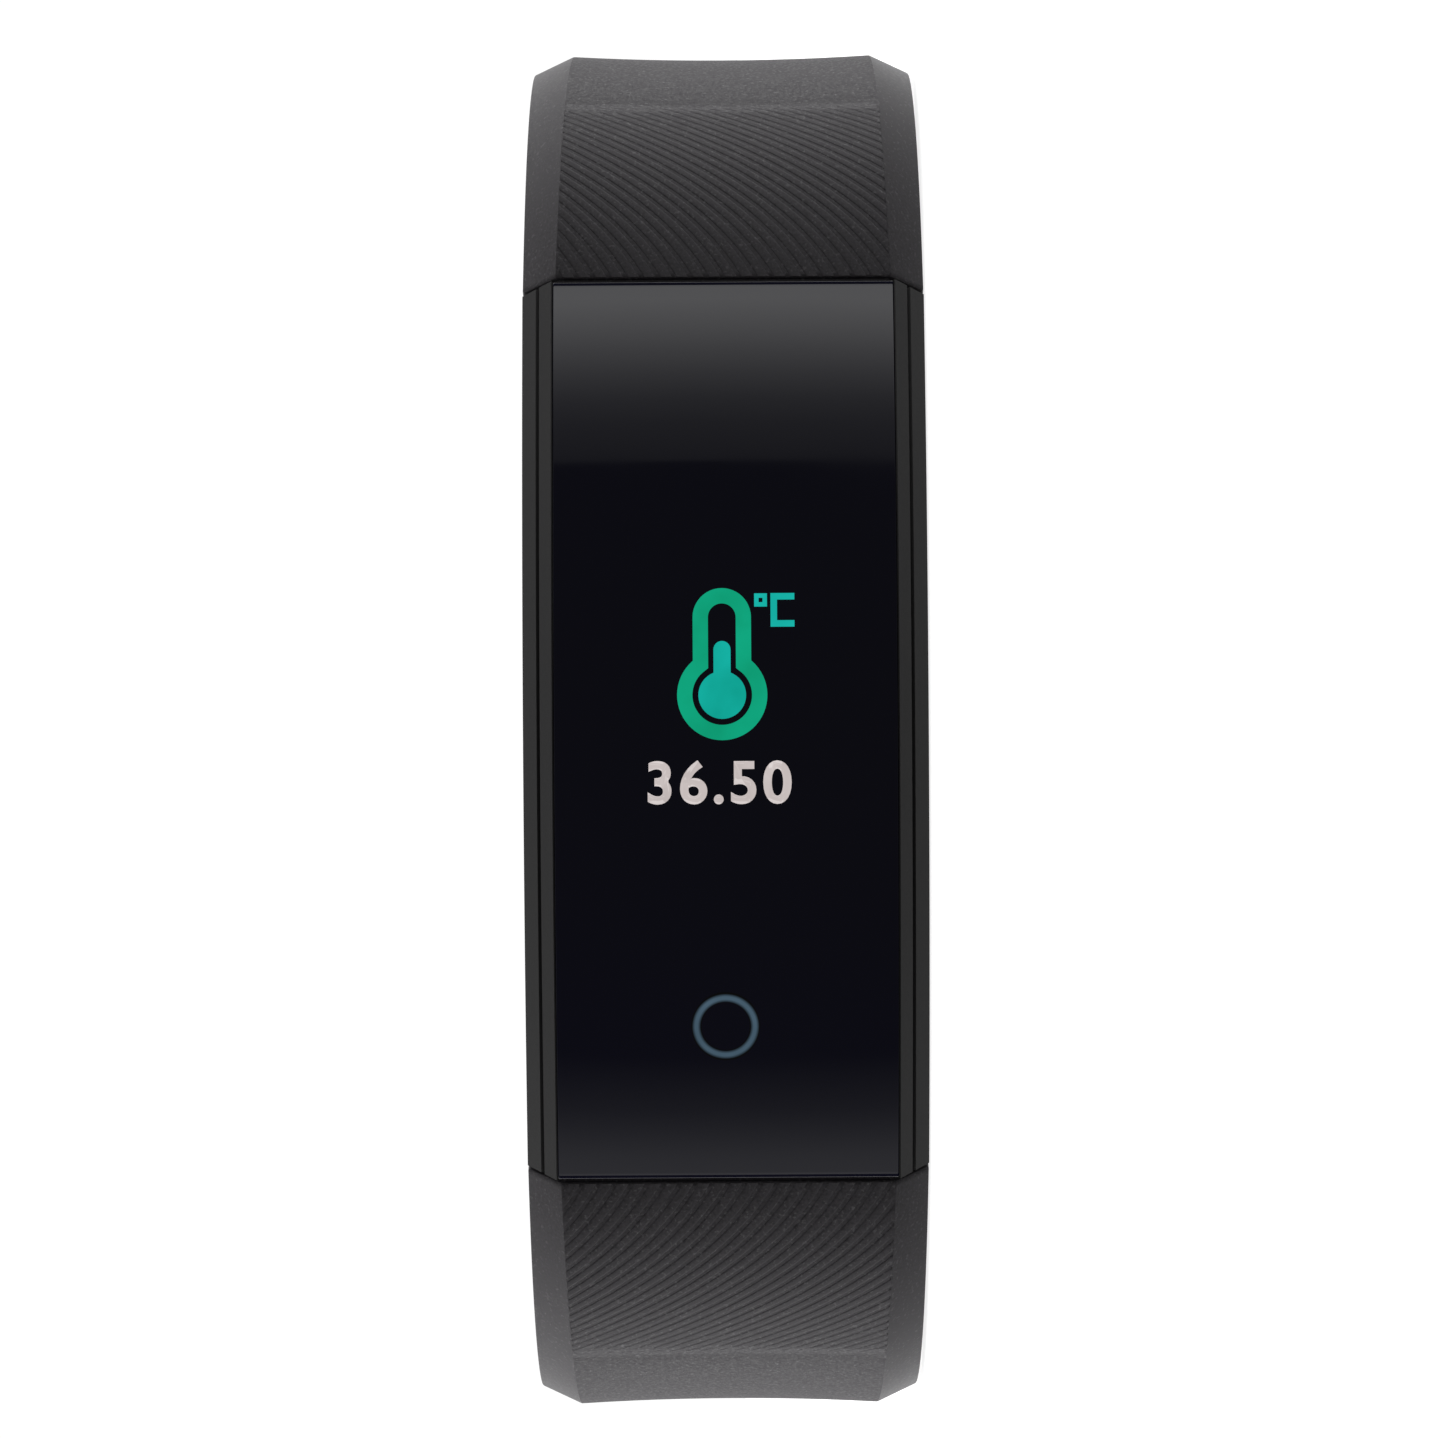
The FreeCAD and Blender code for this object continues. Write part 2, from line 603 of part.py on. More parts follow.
def buckle_tongue():
    """A pin with an eye round the spring bar, lying on the far bar of the frame."""
    rest = BAR.y + FRAME_THICK / 2 + 0.08
    thick = 1.1
    tip = BAR.x - FRAME_REACH - 1.0
    outline = [
        (BAR.x, BAR.y + 1.6),
        (BAR.x - 1.4, rest + thick),
        (tip + 0.6, rest + thick),
        (tip, rest + 0.5),
        (tip + 0.2, rest),
        (BAR.x - 2.2, rest),
        (BAR.x - 1.4, BAR.y - 0.4),
        (BAR.x, BAR.y),
    ]
    span = (MID_Z - TONGUE_HALF, MID_Z + TONGUE_HALF)
    pin = joined(prism(outline, *span), rod(BAR.x, BAR.y, 1.6, *span))
    return pin.cut(rod(BAR.x, BAR.y, BAR_RADIUS + 0.05, *span))


def spring_bar_tube():
    tube = rod(BAR.x, BAR.y, BAR_RADIUS, MID_Z - BAR_HALF, MID_Z + BAR_HALF)
    inside = rod(BAR.x, BAR.y, 0.5, MID_Z - BAR_HALF + 0.3, MID_Z + BAR_HALF - 0.3)
    mouths = rod(BAR.x, BAR.y, TIP_RADIUS + 0.03, MID_Z - BAR_HALF, MID_Z + BAR_HALF)
    return tube.cut([inside, mouths])


def spring_bar_tip(side):
    """A sprung tip: a shank inside the tube and a nose in the frame's arm."""
    shank = rod(BAR.x, BAR.y, 0.46, TIP_INNER, BAR_HALF - 0.32)
    nose = rod(BAR.x, BAR.y, TIP_RADIUS, BAR_HALF - 0.32, BAR_HALF + 1.5)
    rim = [e for e in nose.Edges if e.BoundBox.ZMin > BAR_HALF + 1.4]
    tip = joined(shank, nose.makeChamfer(0.12, rim))
    if side < 0:
        tip = tip.mirror(Vector(0, 0, 0), UP)
    tip.translate(UP * MID_Z)
    return tip


def spring_bar_spring():
    """A fine coil spring between the inner ends of the two tips."""
    wire_radius = 0.07
    coil_radius = 0.34
    height = 2 * TIP_INNER - 2 * wire_radius - 0.02
    coil = Part.makeHelix(0.425, height, coil_radius)
    circle = Part.makeCircle(wire_radius, Vector(coil_radius, 0, 0), ALONG_Y)
    spring = Part.Wire(coil).makePipeShell([Part.Wire(circle)], True, True)
    spring.translate(Vector(BAR.x, BAR.y, MID_Z - height / 2))
    return spring


# ---- keepers ----
def keeper(angle, span, clearance):
    """A soft rubber loop round the strap on the buckle side's bend, tall enough for the tail as well."""
    inner_radius = BUCKLE_BEND - STRAP_THICK - clearance
    outer_radius = inner_radius + KEEPER_ROOM
    start = angle - span / 2

    def ring(low, high, half, begin, sweep, corner):
        outline = [(low, -half), (high, -half), (high, half), (low, half)]
        points = [BEND_CENTRE + Vector(r, 0, MID_Z + w) for r, w in outline]
        face = Part.Face(Part.makePolygon(points + points[:1]))
        face.rotate(BEND_CENTRE, UP, begin)
        body = face.revolve(BEND_CENTRE, UP, sweep)
        return body.makeFillet(corner, [e for e in body.Edges if not in_end_plane(e)])

    def in_end_plane(edge):
        arms = [v.Point - BEND_CENTRE for v in edge.Vertexes]
        return len({round(math.atan2(arm.y, arm.x), 4) for arm in arms}) == 1

    loop = ring(
        inner_radius - KEEPER_WALL,
        outer_radius + KEEPER_WALL,
        KEEPER_HALF + KEEPER_WALL,
        start,
        span,
        KEEPER_CORNER,
    )
    loop = loop.makeFillet(KEEPER_RIM, [e for e in loop.Edges if in_end_plane(e)])
    return loop.cut(ring(inner_radius, outer_radius, KEEPER_HALF, start - 1, span + 2, 0.5))


SHAPES = {
    "cover_lens": cover_lens(),
    "lens_adhesive": lens_adhesive(),
    "front_frame": front_frame(),
    "case_gasket": case_gasket(),
    "rear_case": rear_case(),
    "display_panel": display_panel(),
    "display_backlight": display_backlight(),
    "display_flex": display_flex(),
    "touch_electrode": touch_electrode(),
    "main_pcb": main_pcb(),
    "mcu_chip": chip(-9.2, MID_Z, (6.0, 6.0), 0.85, 0.1),
    "flash_chip": chip(12.8, MID_Z - 3.6, (4.0, 3.0), 0.6, 0.1),
    "charger_chip": chip(-13.4, MID_Z + 4.2, (2.0, 2.0), 0.6, 0.1),
    "accelerometer": chip(6.4, MID_Z + 4.6, (2.0, 2.0), 0.7, 0.1),
    "crystal": chip(-4.6, MID_Z + 5.0, (2.0, 1.6), 0.5, 0.1),
    "chip_antenna": chip(11.6, MID_Z + 5.6, (5.2, 2.0), 1.0, 0.1),
    "passive_components": passive_components(),
    "pcb_screws": pcb_screws(),
    "battery_cell": battery_cell(),
    "battery_protection_board": battery_protection_board(),
    "battery_lead_red": battery_lead(MID_Z + 3.0),
    "battery_lead_black": battery_lead(MID_Z + 1.2),
    "battery_foam": slab(sum(BATTERY_X) / 2, MID_Z, (19.0, 10.0), DISPLAY_FRONT + 1.6, BATTERY_Y[0] - 0.02),
    "motor_can": motor_can(),
    "motor_base": motor_base(),
    "motor_rotor": motor_rotor(),
    "motor_shaft": motor_shaft(),
    "hr_leds": hr_leds(),
    "hr_photodiode": chip(0, MID_Z, (2.6, 2.6), 0.6),
    "hr_light_barrier": hr_light_barrier(),
    "sensor_window": sensor_window(),
    "window_adhesive": window_adhesive(),
    "temp_contact": temp_contact(),
    "thermistor": chip(CONTACT_X, MID_Z, (1.6, 0.9), 0.5),
    "usb_plug_board": usb_plug_board(),
    "usb_contacts": usb_contacts(),
    "buckle_strap_cap": strap_cap(),
    "tail_strap_cap": mirrored(strap_cap()),
    "buckle_strap_band": buckle_strap_band(),
    "tail_strap_band": tail_strap_band(),
    "buckle_frame": buckle_frame(),
    "buckle_tongue": buckle_tongue(),
    "spring_bar_tube": spring_bar_tube(),
    "spring_bar_tip_upper": spring_bar_tip(1),
    "spring_bar_tip_lower": spring_bar_tip(-1),
    "spring_bar_spring": spring_bar_spring(),
    "fixed_keeper": keeper(*FIXED_KEEPER, KEEPER_BITE),
    "sliding_keeper": keeper(*SLIDING_KEEPER, 0.2),
}

os.makedirs("parts", exist_ok=True)
for name, shape in SHAPES.items():
    shape.exportStep(f"parts/{name}.step")
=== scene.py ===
import json
import math

import bmesh
import bpy
import numpy as np
from mathutils import Matrix, Vector


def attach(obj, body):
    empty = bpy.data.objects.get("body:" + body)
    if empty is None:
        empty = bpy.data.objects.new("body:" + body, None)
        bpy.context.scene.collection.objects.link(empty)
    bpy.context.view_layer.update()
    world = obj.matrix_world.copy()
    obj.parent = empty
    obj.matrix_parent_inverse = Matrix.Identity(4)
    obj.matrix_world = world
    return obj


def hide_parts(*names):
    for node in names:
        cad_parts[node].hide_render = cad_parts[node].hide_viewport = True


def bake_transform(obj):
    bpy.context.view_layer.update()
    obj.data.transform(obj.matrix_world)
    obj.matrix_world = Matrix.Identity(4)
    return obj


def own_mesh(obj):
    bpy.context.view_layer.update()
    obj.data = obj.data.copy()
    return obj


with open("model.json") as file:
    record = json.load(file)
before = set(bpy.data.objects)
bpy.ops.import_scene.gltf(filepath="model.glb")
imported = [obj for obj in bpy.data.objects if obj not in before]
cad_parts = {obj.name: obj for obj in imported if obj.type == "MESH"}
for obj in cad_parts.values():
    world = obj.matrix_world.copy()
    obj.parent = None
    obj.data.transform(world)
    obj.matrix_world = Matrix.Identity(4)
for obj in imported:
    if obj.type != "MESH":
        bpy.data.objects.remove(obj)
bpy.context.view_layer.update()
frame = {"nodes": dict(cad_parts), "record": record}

# ---- sizes: millimetres and degrees, in the frame of the CAD model ----
MM = 0.001
MID_Z = 10.0
CASE_AXIS_Y = 66.5
LENS_RADIUS = 72.0
CASE_DEPTH = 10.0
END_ANGLE = 18.0
LENS_HALF = 8.43
LENS_THICK = 1.0
SEAM_GAP = 0.15
SEAM_LIP = 0.14  # inside its rounded rim, the strap's end face stands out by this much
LIP_INSET = 0.22  # and starts this far in from its edge
TENON_RADIUS = 64.8
SOCKET_HALF = 6.15
SOCKET_DEEP = 1.25
SOCKET_LENGTH = 11.3
SOCKET_CORNER = 0.25
STRAP_THICK = 2.3
SHOULDER_RADIUS = 18.45
SIDE_RUN = 4.0
WEDGE_ANGLE = 22.0
BUCKLE_BEND = 20.0
BUCKLE_RUN = 6.14
EYE_RADIUS = 1.7
BORE_RADIUS = 0.8
SLOT_HALF = 1.35
SLOT_NEAR = 3.0  # the tongue's slot runs from here, past the end of the eye
SLOT_FAR = 3.6  # to here along the strap
TAIL_BEND = 46.0
TAIL_TURN = 78.0
TAIL_RUN = 28.0
TAIL_TIP = 8.0
TAIL_HOLES = 10
HOLE_PITCH = 6.2
FIRST_HOLE = 15.0
HOLE_SIZE = (3.8, 2.7)

SHOULDER_LENGTH = SHOULDER_RADIUS * math.radians(90 - END_ANGLE)
HINGE_AT = SHOULDER_LENGTH + SIDE_RUN
BUCKLE_RUNS = (
    (SHOULDER_RADIUS, SHOULDER_LENGTH),
    (0, SIDE_RUN),
    (BUCKLE_BEND, BUCKLE_BEND * math.pi / 2),
    (0, 99.0),
)
TAIL_RUNS = (
    (SHOULDER_RADIUS, SHOULDER_LENGTH),
    (0, SIDE_RUN),
    (TAIL_BEND, TAIL_BEND * math.radians(TAIL_TURN)),
    (0, 99.0),
)
BAR_AT = HINGE_AT + BUCKLE_BEND * math.pi / 2 + BUCKLE_RUN
TAIL_END = HINGE_AT + TAIL_BEND * math.radians(TAIL_TURN) + TAIL_RUN

# (distance from the seam, half width of the flat, half width, depth of the chamfer)
CAP_WIDTHS = ((0, 8.3, 9.98, 1.9), (20, 7.7, 9.72, 0.96), (27.2, 7.65, 9.65, 0.9))
BUCKLE_WIDTHS = CAP_WIDTHS + ((37, 6.8, 8.1, 0.6), (99, 6.8, 8.1, 0.6))
TAIL_WIDTHS = CAP_WIDTHS + ((60, 7.0, 8.5, 0.7), (140, 6.9, 8.3, 0.7))

PANEL_END = 11.4  # the ridged panel runs this far from the seam
PANEL_HALF = 8.4  # the ridges are laid out this far to each side, and cut off at the edge of the flat
RIDGE_PITCH = 0.805  # across the strap
RIDGE_HALF = 0.29
RIDGE_HEIGHT = 0.026
RIDGE_FADE = ((4.0, 11.9), (1.0, 0.4))  # (distances from the seam, shares of the height)
# (distances from the seam, depths of the panel's floor below the outer face)
PANEL_FLOOR = ((0.0, 11.0, 11.8, 12.5), (0.02, -0.12, 0.02, 0.0))
HOLLOW = 0.22  # how deep the outer face is dished


# ---- mesh helpers ----
def make_object(name, points, faces, material, slot, body=None, sharp=35.0, second=None, kinds=()):
    """A mesh object from points in millimetres, with smooth shading apart from its sharp edges.

    Faces whose kind is 1 have the second material.
    """
    mesh = bpy.data.meshes.new(name)
    mesh.from_pydata([tuple(MM * c for c in p) for p in points], [], faces)
    mesh.materials.append(material)
    if second:
        mesh.materials.append(second)
        mesh.polygons.foreach_set("material_index", kinds)
    tidy(mesh)
    mesh.shade_smooth()
    mesh.set_sharp_from_angle(angle=math.radians(sharp))
    made = bpy.data.objects.new(name, mesh)
    bpy.context.scene.collection.objects.link(made)
    if body:
        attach(made, body)
    return made


def tidy(mesh):
    """Merges points that meet, removes empty faces and turns every face outwards."""
    work = bmesh.new()
    work.from_mesh(mesh)
    bmesh.ops.remove_doubles(work, verts=work.verts, dist=1e-7)
    bmesh.ops.dissolve_degenerate(work, edges=work.edges, dist=1e-8)
    bmesh.ops.recalc_face_normals(work, faces=work.faces)
    work.to_mesh(mesh)
    work.free()


def skin(rings, close_start=True, close_end=True):
    """Faces that join closed rings of equal length, one after another."""
    points = [p for ring in rings for p in ring]
    count = len(rings[0])
    faces = []
    for i in range(len(rings) - 1):
        for j in range(count):
            k = (j + 1) % count
            faces.append((i * count + j, i * count + k, (i + 1) * count + k, (i + 1) * count + j))
    if close_start:
        faces.append(tuple(range(count - 1, -1, -1)))
    if close_end:
        faces.append(tuple(range(len(points) - count, len(points))))
    return points, faces


def rounded(outline, radii, steps=3):
    """The closed outline with each corner replaced by an arc of its own radius."""
    result = []
    count = len(outline)
    for i, corner in enumerate(outline):
        here = Vector(corner)
        before = Vector(outline[i - 1]) - here
        after = Vector(outline[(i + 1) % count]) - here
        turn = math.pi - before.angle(after)
        reach = radii[i] * math.tan(turn / 2)
        reach = min(reach, before.length * 0.45, after.length * 0.45)
        start = here + before.normalized() * reach
        end = here + after.normalized() * reach
        for j in range(steps + 1):
            t = j / steps
            result.append(tuple(start.lerp(here, t).lerp(here.lerp(end, t), t)))
    return result


def cut_with(target, cutter):
    """Cuts one mesh out of another and keeps only the result."""
    step = target.modifiers.new("cut", "BOOLEAN")
    step.object = cutter
    step.solver = "EXACT"
    graph = bpy.context.evaluated_depsgraph_get()
    result = bpy.data.meshes.new_from_object(target.evaluated_get(graph))
    target.modifiers.clear()
    before = target.data
    target.data = result
    bpy.data.meshes.remove(before)
    used = cutter.data
    bpy.data.objects.remove(cutter)
    bpy.data.meshes.remove(used)


def cutter_from(rings):
    """A plain mesh object through rings, to cut with."""
    points, faces = skin(rings)
    mesh = bpy.data.meshes.new("cutter")
    mesh.from_pydata([tuple(MM * c for c in p) for p in points], [], faces)
    tidy(mesh)
    made = bpy.data.objects.new("cutter", mesh)
    bpy.context.scene.collection.objects.link(made)
    return made


# ---- materials ----
def new_material(name, colour, roughness, metallic=0.0):
    """A material with one Principled shader: returns it with its node tree and shader."""
    material = bpy.data.materials.new(name)
    material.use_nodes = True
    tree = material.node_tree
    shader = tree.nodes["Principled BSDF"]
    shader.inputs["Base Color"].default_value = (*colour, 1.0)
    shader.inputs["Roughness"].default_value = roughness
    shader.inputs["Metallic"].default_value = metallic
    return material, tree, shader


def noise(tree, size_mm, detail=2.0, stretch=(1.0, 1.0, 1.0)):
    """A noise texture in the piece's own coordinates, with features of a size in millimetres."""
    where = tree.nodes.new("ShaderNodeTexCoord")
    mapping = tree.nodes.new("ShaderNodeMapping")
    mapping.inputs["Scale"].default_value = stretch
    texture = tree.nodes.new("ShaderNodeTexNoise")
    texture.inputs["Scale"].default_value = 1.0 / (size_mm * MM)
    texture.inputs["Detail"].default_value = detail
    tree.links.new(where.outputs["Object"], mapping.inputs["Vector"])
    tree.links.new(mapping.outputs["Vector"], texture.inputs["Vector"])
    return texture.outputs["Fac"]


def ranged(tree, value, low, high, source=(0.3, 0.7)):
    """A value mapped from its usual span to low..high."""
    node = tree.nodes.new("ShaderNodeMapRange")
    node.inputs["From Min"].default_value = source[0]
    node.inputs["From Max"].default_value = source[1]
    node.inputs["To Min"].default_value = low
    node.inputs["To Max"].default_value = high
    tree.links.new(value, node.inputs["Value"])
    return node.outputs["Result"]


def two_colours(tree, shader, value, dark, light):
    """Base colour that wanders between two colours with a value."""
    mix = tree.nodes.new("ShaderNodeMix")
    mix.data_type = "RGBA"
    mix.inputs["A"].default_value = (*dark, 1.0)
    mix.inputs["B"].default_value = (*light, 1.0)
    tree.links.new(value, mix.inputs["Factor"])
    tree.links.new(mix.outputs["Result"], shader.inputs["Base Color"])


def flecks(tree, shader, value, colour):
    """Lighter specks over the base colour that the shader already has."""
    mix = tree.nodes.new("ShaderNodeMix")
    mix.data_type = "RGBA"
    mix.inputs["B"].default_value = (*colour, 1.0)
    tree.links.new(shader.inputs["Base Color"].links[0].from_socket, mix.inputs["A"])
    tree.links.new(value, mix.inputs["Factor"])
    tree.links.new(mix.outputs["Result"], shader.inputs["Base Color"])


def bump(tree, shader, value, strength, height_mm):
    node = tree.nodes.new("ShaderNodeBump")
    node.inputs["Strength"].default_value = strength
    node.inputs["Distance"].default_value = height_mm * MM
    tree.links.new(value, node.inputs["Height"])
    tree.links.new(node.outputs["Normal"], shader.inputs["Normal"])


def strap_rubber(name, shade, sheen=0.0):
    """Soft black rubber with a fine speckle; the shade makes it lighter or darker."""
    material, tree, shader = new_material(name, (0.04, 0.04, 0.042), 0.6)
    shader.inputs["Specular IOR Level"].default_value = 0.2
    shader.inputs["Sheen Weight"].default_value = sheen
    shader.inputs["Sheen Roughness"].default_value = 0.3
    grain = noise(tree, 0.15, 3.0)
    dark = tuple(shade * c for c in (0.0245, 0.0225, 0.0252))
    light = tuple(shade * c for c in (0.0592, 0.0545, 0.061))
    two_colours(tree, shader, ranged(tree, grain, 0.0, 1.0), dark, light)
    specks = noise(tree, 0.17, 1.0)
    flecks(tree, shader, ranged(tree, specks, 0.0, 0.5, (0.6, 0.74)), (0.13, 0.125, 0.131))
    tree.links.new(ranged(tree, grain, 0.42, 0.8), shader.inputs["Roughness"])
    bump(tree, shader, grain, 0.3, 0.01)
    return material


def moulded_plastic(name, colour, roughness, grain_mm=0.12, height=0.006):
    material, tree, shader = new_material(name, colour, roughness)
    shader.inputs["Specular IOR Level"].default_value = 0.25
    grain = noise(tree, grain_mm, 2.0)
    light = tuple(c * 1.15 for c in colour)
    dark = tuple(c * 0.85 for c in colour)
    two_colours(tree, shader, ranged(tree, grain, 0.0, 1.0), dark, light)
    tree.links.new(ranged(tree, grain, roughness - 0.05, roughness + 0.05), shader.inputs["Roughness"])
    bump(tree, shader, grain, 0.4, height)
    return material


def lens_glass():
    material, tree, shader = new_material("lens_glass", (0.0008, 0.0006, 0.0135), 0.06)
    shader.inputs["IOR"].default_value = 1.5
    smear = noise(tree, 9.0, 3.0)
    tree.links.new(ranged(tree, smear, 0.03, 0.08), shader.inputs["Roughness"])
    return material


def brushed_metal(name, colour, roughness):
    material, tree, shader = new_material(name, colour, roughness, 1.0)
    lines = noise(tree, 0.12, 4.0, (1.0, 1.0, 0.05))
    dark = tuple(c * 0.8 for c in colour)
    light = tuple(c * 1.2 for c in colour)
    two_colours(tree, shader, ranged(tree, lines, 0.0, 1.0), dark, light)
    tree.links.new(ranged(tree, lines, roughness - 0.08, roughness + 0.1), shader.inputs["Roughness"])
    bump(tree, shader, lines, 0.25, 0.004)
    return material


def glowing(name, low, high):
    """A screen colour: emission that wanders a little between two colours."""
    material, tree, shader = new_material(name, (0.0, 0.0, 0.0), 0.08)
    shader.inputs["Emission Strength"].default_value = 1.0
    mix = tree.nodes.new("ShaderNodeMix")
    mix.data_type = "RGBA"
    mix.inputs["A"].default_value = (*low, 1.0)
    mix.inputs["B"].default_value = (*high, 1.0)
    tree.links.new(ranged(tree, noise(tree, 2.0), 0.0, 1.0), mix.inputs["Factor"])
    tree.links.new(mix.outputs["Result"], shader.inputs["Emission Color"])
    return material


def soft_ring(material, centre, radius, reach):
    """Makes a screen colour fade away on both sides of a circle about a point of the lens."""
    tree = material.node_tree
    where = tree.nodes.new("ShaderNodeTexCoord")
    away = tree.nodes.new("ShaderNodeVectorMath")
    away.operation = "DISTANCE"
    away.inputs[1].default_value = tuple(MM * c for c in centre)
    offset = tree.nodes.new("ShaderNodeMath")
    offset.operation = "SUBTRACT"
    offset.inputs[1].default_value = radius * MM
    size = tree.nodes.new("ShaderNodeMath")
    size.operation = "ABSOLUTE"
    tree.links.new(where.outputs["Object"], away.inputs[0])
    tree.links.new(away.outputs["Value"], offset.inputs[0])
    tree.links.new(offset.outputs["Value"], size.inputs[0])
    fade = ranged(tree, size.outputs["Value"], 1.0, 0.0, (0.3 * reach * MM, reach * MM))
    tree.links.new(fade, tree.nodes["Principled BSDF"].inputs["Emission Strength"])


def linear(r, g, b):
    """Linear colour from screen values of 0 to 255."""
    return tuple(((v / 255 + 0.055) / 1.055) ** 2.4 if v > 10 else v / 255 / 12.92 for v in (r, g, b))


RUBBER = strap_rubber("strap_rubber", 1.0)
# painted light: a copy of the strap rubber with its base colour painted 1.15 times lighter, standing in for
# light falling on the chamfers; it covers every face but the flat of the outer face, and its sheen is a real
# shader lobe, not paint
PAINTED_LIGHTER_RUBBER = strap_rubber("strap_rubber_painted_lighter", 1.15, 0.4)  # everywhere but on the flat of the outer face
GLASS = lens_glass()
FRAME_PLASTIC = moulded_plastic("frame_plastic", (0.0095, 0.009, 0.0095), 0.5)
CASE_PLASTIC = moulded_plastic("case_plastic", (0.013, 0.0125, 0.013), 0.5)
BUCKLE_METAL = brushed_metal("buckle_metal", (0.12, 0.12, 0.125), 0.34)
STEEL = brushed_metal("steel", (0.6, 0.6, 0.61), 0.25)


# ---- strap halves ----
def follow(runs, distance):
    """Point on the strap's outer face, this far from the seam, and its heading in radians."""
    heading = math.radians(END_ANGLE)
    x = LENS_RADIUS * math.sin(heading) + SEAM_GAP * math.cos(heading)
    y = CASE_AXIS_Y - LENS_RADIUS * math.cos(heading) + SEAM_GAP * math.sin(heading)
    for radius, length in runs:
        step = min(distance, length)
        if radius:
            turned = heading + step / radius
            x += radius * (math.sin(turned) - math.sin(heading))
            y += radius * (math.cos(heading) - math.cos(turned))
            heading = turned
        else:
            x += step * math.cos(heading)
            y += step * math.sin(heading)
        distance -= step
        if distance <= 0:
            break
    return x, y, heading


def on_strap(runs, side, distance, across, depth):
    """A point at a distance along the strap, a place across it and a depth below its outer face."""
    x, y, heading = follow(runs, distance)
    return (side * (x - math.sin(heading) * depth), y + math.cos(heading) * depth, MID_Z + across)


def widths_at(table, distance):
    columns = list(zip(*table))
    return [float(np.interp(distance, columns[0], column)) for column in columns[1:]]


def wedge_thickness(runs, distance):
    """Thickness of the strap, which is thick beside the case and flat on its inner face there."""
    if distance > SHOULDER_LENGTH:
        return STRAP_THICK
    heading = math.degrees(follow(runs, distance)[2])
    reach = (SHOULDER_RADIUS - CASE_DEPTH) * math.cos(math.radians(WEDGE_ANGLE - END_ANGLE))
    wedge = SHOULDER_RADIUS - reach / math.cos(math.radians(heading - WEDGE_ANGLE))
    return STRAP_THICK + max(0.0, wedge - STRAP_THICK)


def hollow_at(distance, share):
    """How far the outer face is dished at a share of its half width."""
    depth = HOLLOW * min(1.0, distance / 16.0)
    return depth * (1 - share * share)


def recess_at(distance):
    """Depth of the panel's floor, which rises slowly and ends in a short slope."""
    return float(np.interp(distance, *PANEL_FLOOR))


FLAT_STEPS = 12  # across the outer face of a strap ring
CORNER_STEPS = 3  # round each corner of a strap ring


def strap_ring(runs, side, table, distance, top=0.0, bottom=None, narrow=1.0, inset=0.0):
    """One closed ring of points round the strap.

    top and bottom are the depths of its faces, narrow scales its width, and inset draws the ring in.
    """
    flat, half, drop = widths_at(table, distance)
    thick = wedge_thickness(runs, distance) if bottom is None else bottom
    recess = recess_at(distance) if bottom is None else 0.0
    lower = 0.45 + 0.95 * max(0.0, thick - STRAP_THICK) / (CASE_DEPTH - STRAP_THICK)
    span = thick - top
    drop = min(drop, span * 0.42)
    lower = min(lower, span * 0.3)
    flat = flat * narrow - inset
    half = half * narrow - inset
    top += inset
    thick -= inset
    edge = [(flat, top), (half, top + drop), (half, thick - lower), (half - lower, thick)]
    outline = edge + [(-w, d) for w, d in reversed(edge)]
    radius = (0.1, 0.15, 0.5, 0.6)
    loop = rounded(outline, radius + tuple(reversed(radius)), CORNER_STEPS)
    dish = hollow_at(distance, 0.0) * narrow * min(1.0, span / STRAP_THICK)
    across = []
    for i in range(FLAT_STEPS + 1):
        share = 2 * i / FLAT_STEPS - 1
        w = share * (flat - 0.1 * narrow)
        across.append((w, top + recess + dish * (1 - share * share)))
    return [on_strap(runs, side, distance, w, d) for w, d in loop + across]


def kinds_of(faces, ring_size):
    """0 for the faces on the flat of the outer face, 1 for the rest, which take the rubber with painted
    light.
    """
    outline = 8 * (CORNER_STEPS + 1)
    kinds = [0 if i % ring_size >= outline - 1 else 1 for i in range(len(faces) - 2)]
    return kinds + [1, 1]


def socket_ring(side, deep):
    """A ring round the tenon socket, with as many points as a strap ring and in the same order."""
    angle = math.radians(END_ANGLE)
    start_x = TENON_RADIUS * math.sin(angle) + (SEAM_GAP + deep) * math.cos(angle)
    start_y = CASE_AXIS_Y - TENON_RADIUS * math.cos(angle) + (SEAM_GAP + deep) * math.sin(angle)
    corners = [
        (SOCKET_HALF, -SOCKET_DEEP),
        (SOCKET_HALF, SOCKET_DEEP),
        (-SOCKET_HALF, SOCKET_DEEP),
        (-SOCKET_HALF, -SOCKET_DEEP),
    ]
    loop = rounded(corners, (SOCKET_CORNER,) * 4, 2 * CORNER_STEPS + 1)
    reach = SOCKET_HALF - SOCKET_CORNER - 0.05
    across = [((2 * i / FLAT_STEPS - 1) * reach, -SOCKET_DEEP) for i in range(FLAT_STEPS + 1)]
    sine, cosine = math.sin(angle), math.cos(angle)
    return [(side * (start_x - sine * d), start_y + cosine * d, MID_Z + w) for w, d in loop + across]


def cap_stations():
    """Distances of the rings from the seam to the start of the band."""
    panel = [float(d) for d in np.linspace(0.3, PANEL_FLOOR[0][1], 24)]
    slope = [float(d) for d in np.arange(PANEL_FLOOR[0][1] + 0.15, PANEL_FLOOR[0][-1] + 0.1, 0.15)]
    rest = [float(d) for d in np.linspace(PANEL_END + 2.0, HINGE_AT + 4, 40)]
    return panel + slope + rest


def strap_start(runs, side, table):
    """The socket, the end face with its lip and the rounded rim at the seam, as rings."""
    back = math.radians(END_ANGLE)
    lip = [
        (x - side * SEAM_LIP * math.cos(back), y - SEAM_LIP * math.sin(back), z)
        for x, y, z in strap_ring(runs, side, table, 0.0, inset=LIP_INSET)
    ]
    rim = [(0.0, 0.2), (0.0, 0.12), (0.03, 0.04), (0.12, 0.0)]
    rings = [lip] + [strap_ring(runs, side, table, d, inset=i) for d, i in rim]
    socket = [socket_ring(side, deep) for deep in (SOCKET_LENGTH, -SEAM_LIP)]
    return socket + rings


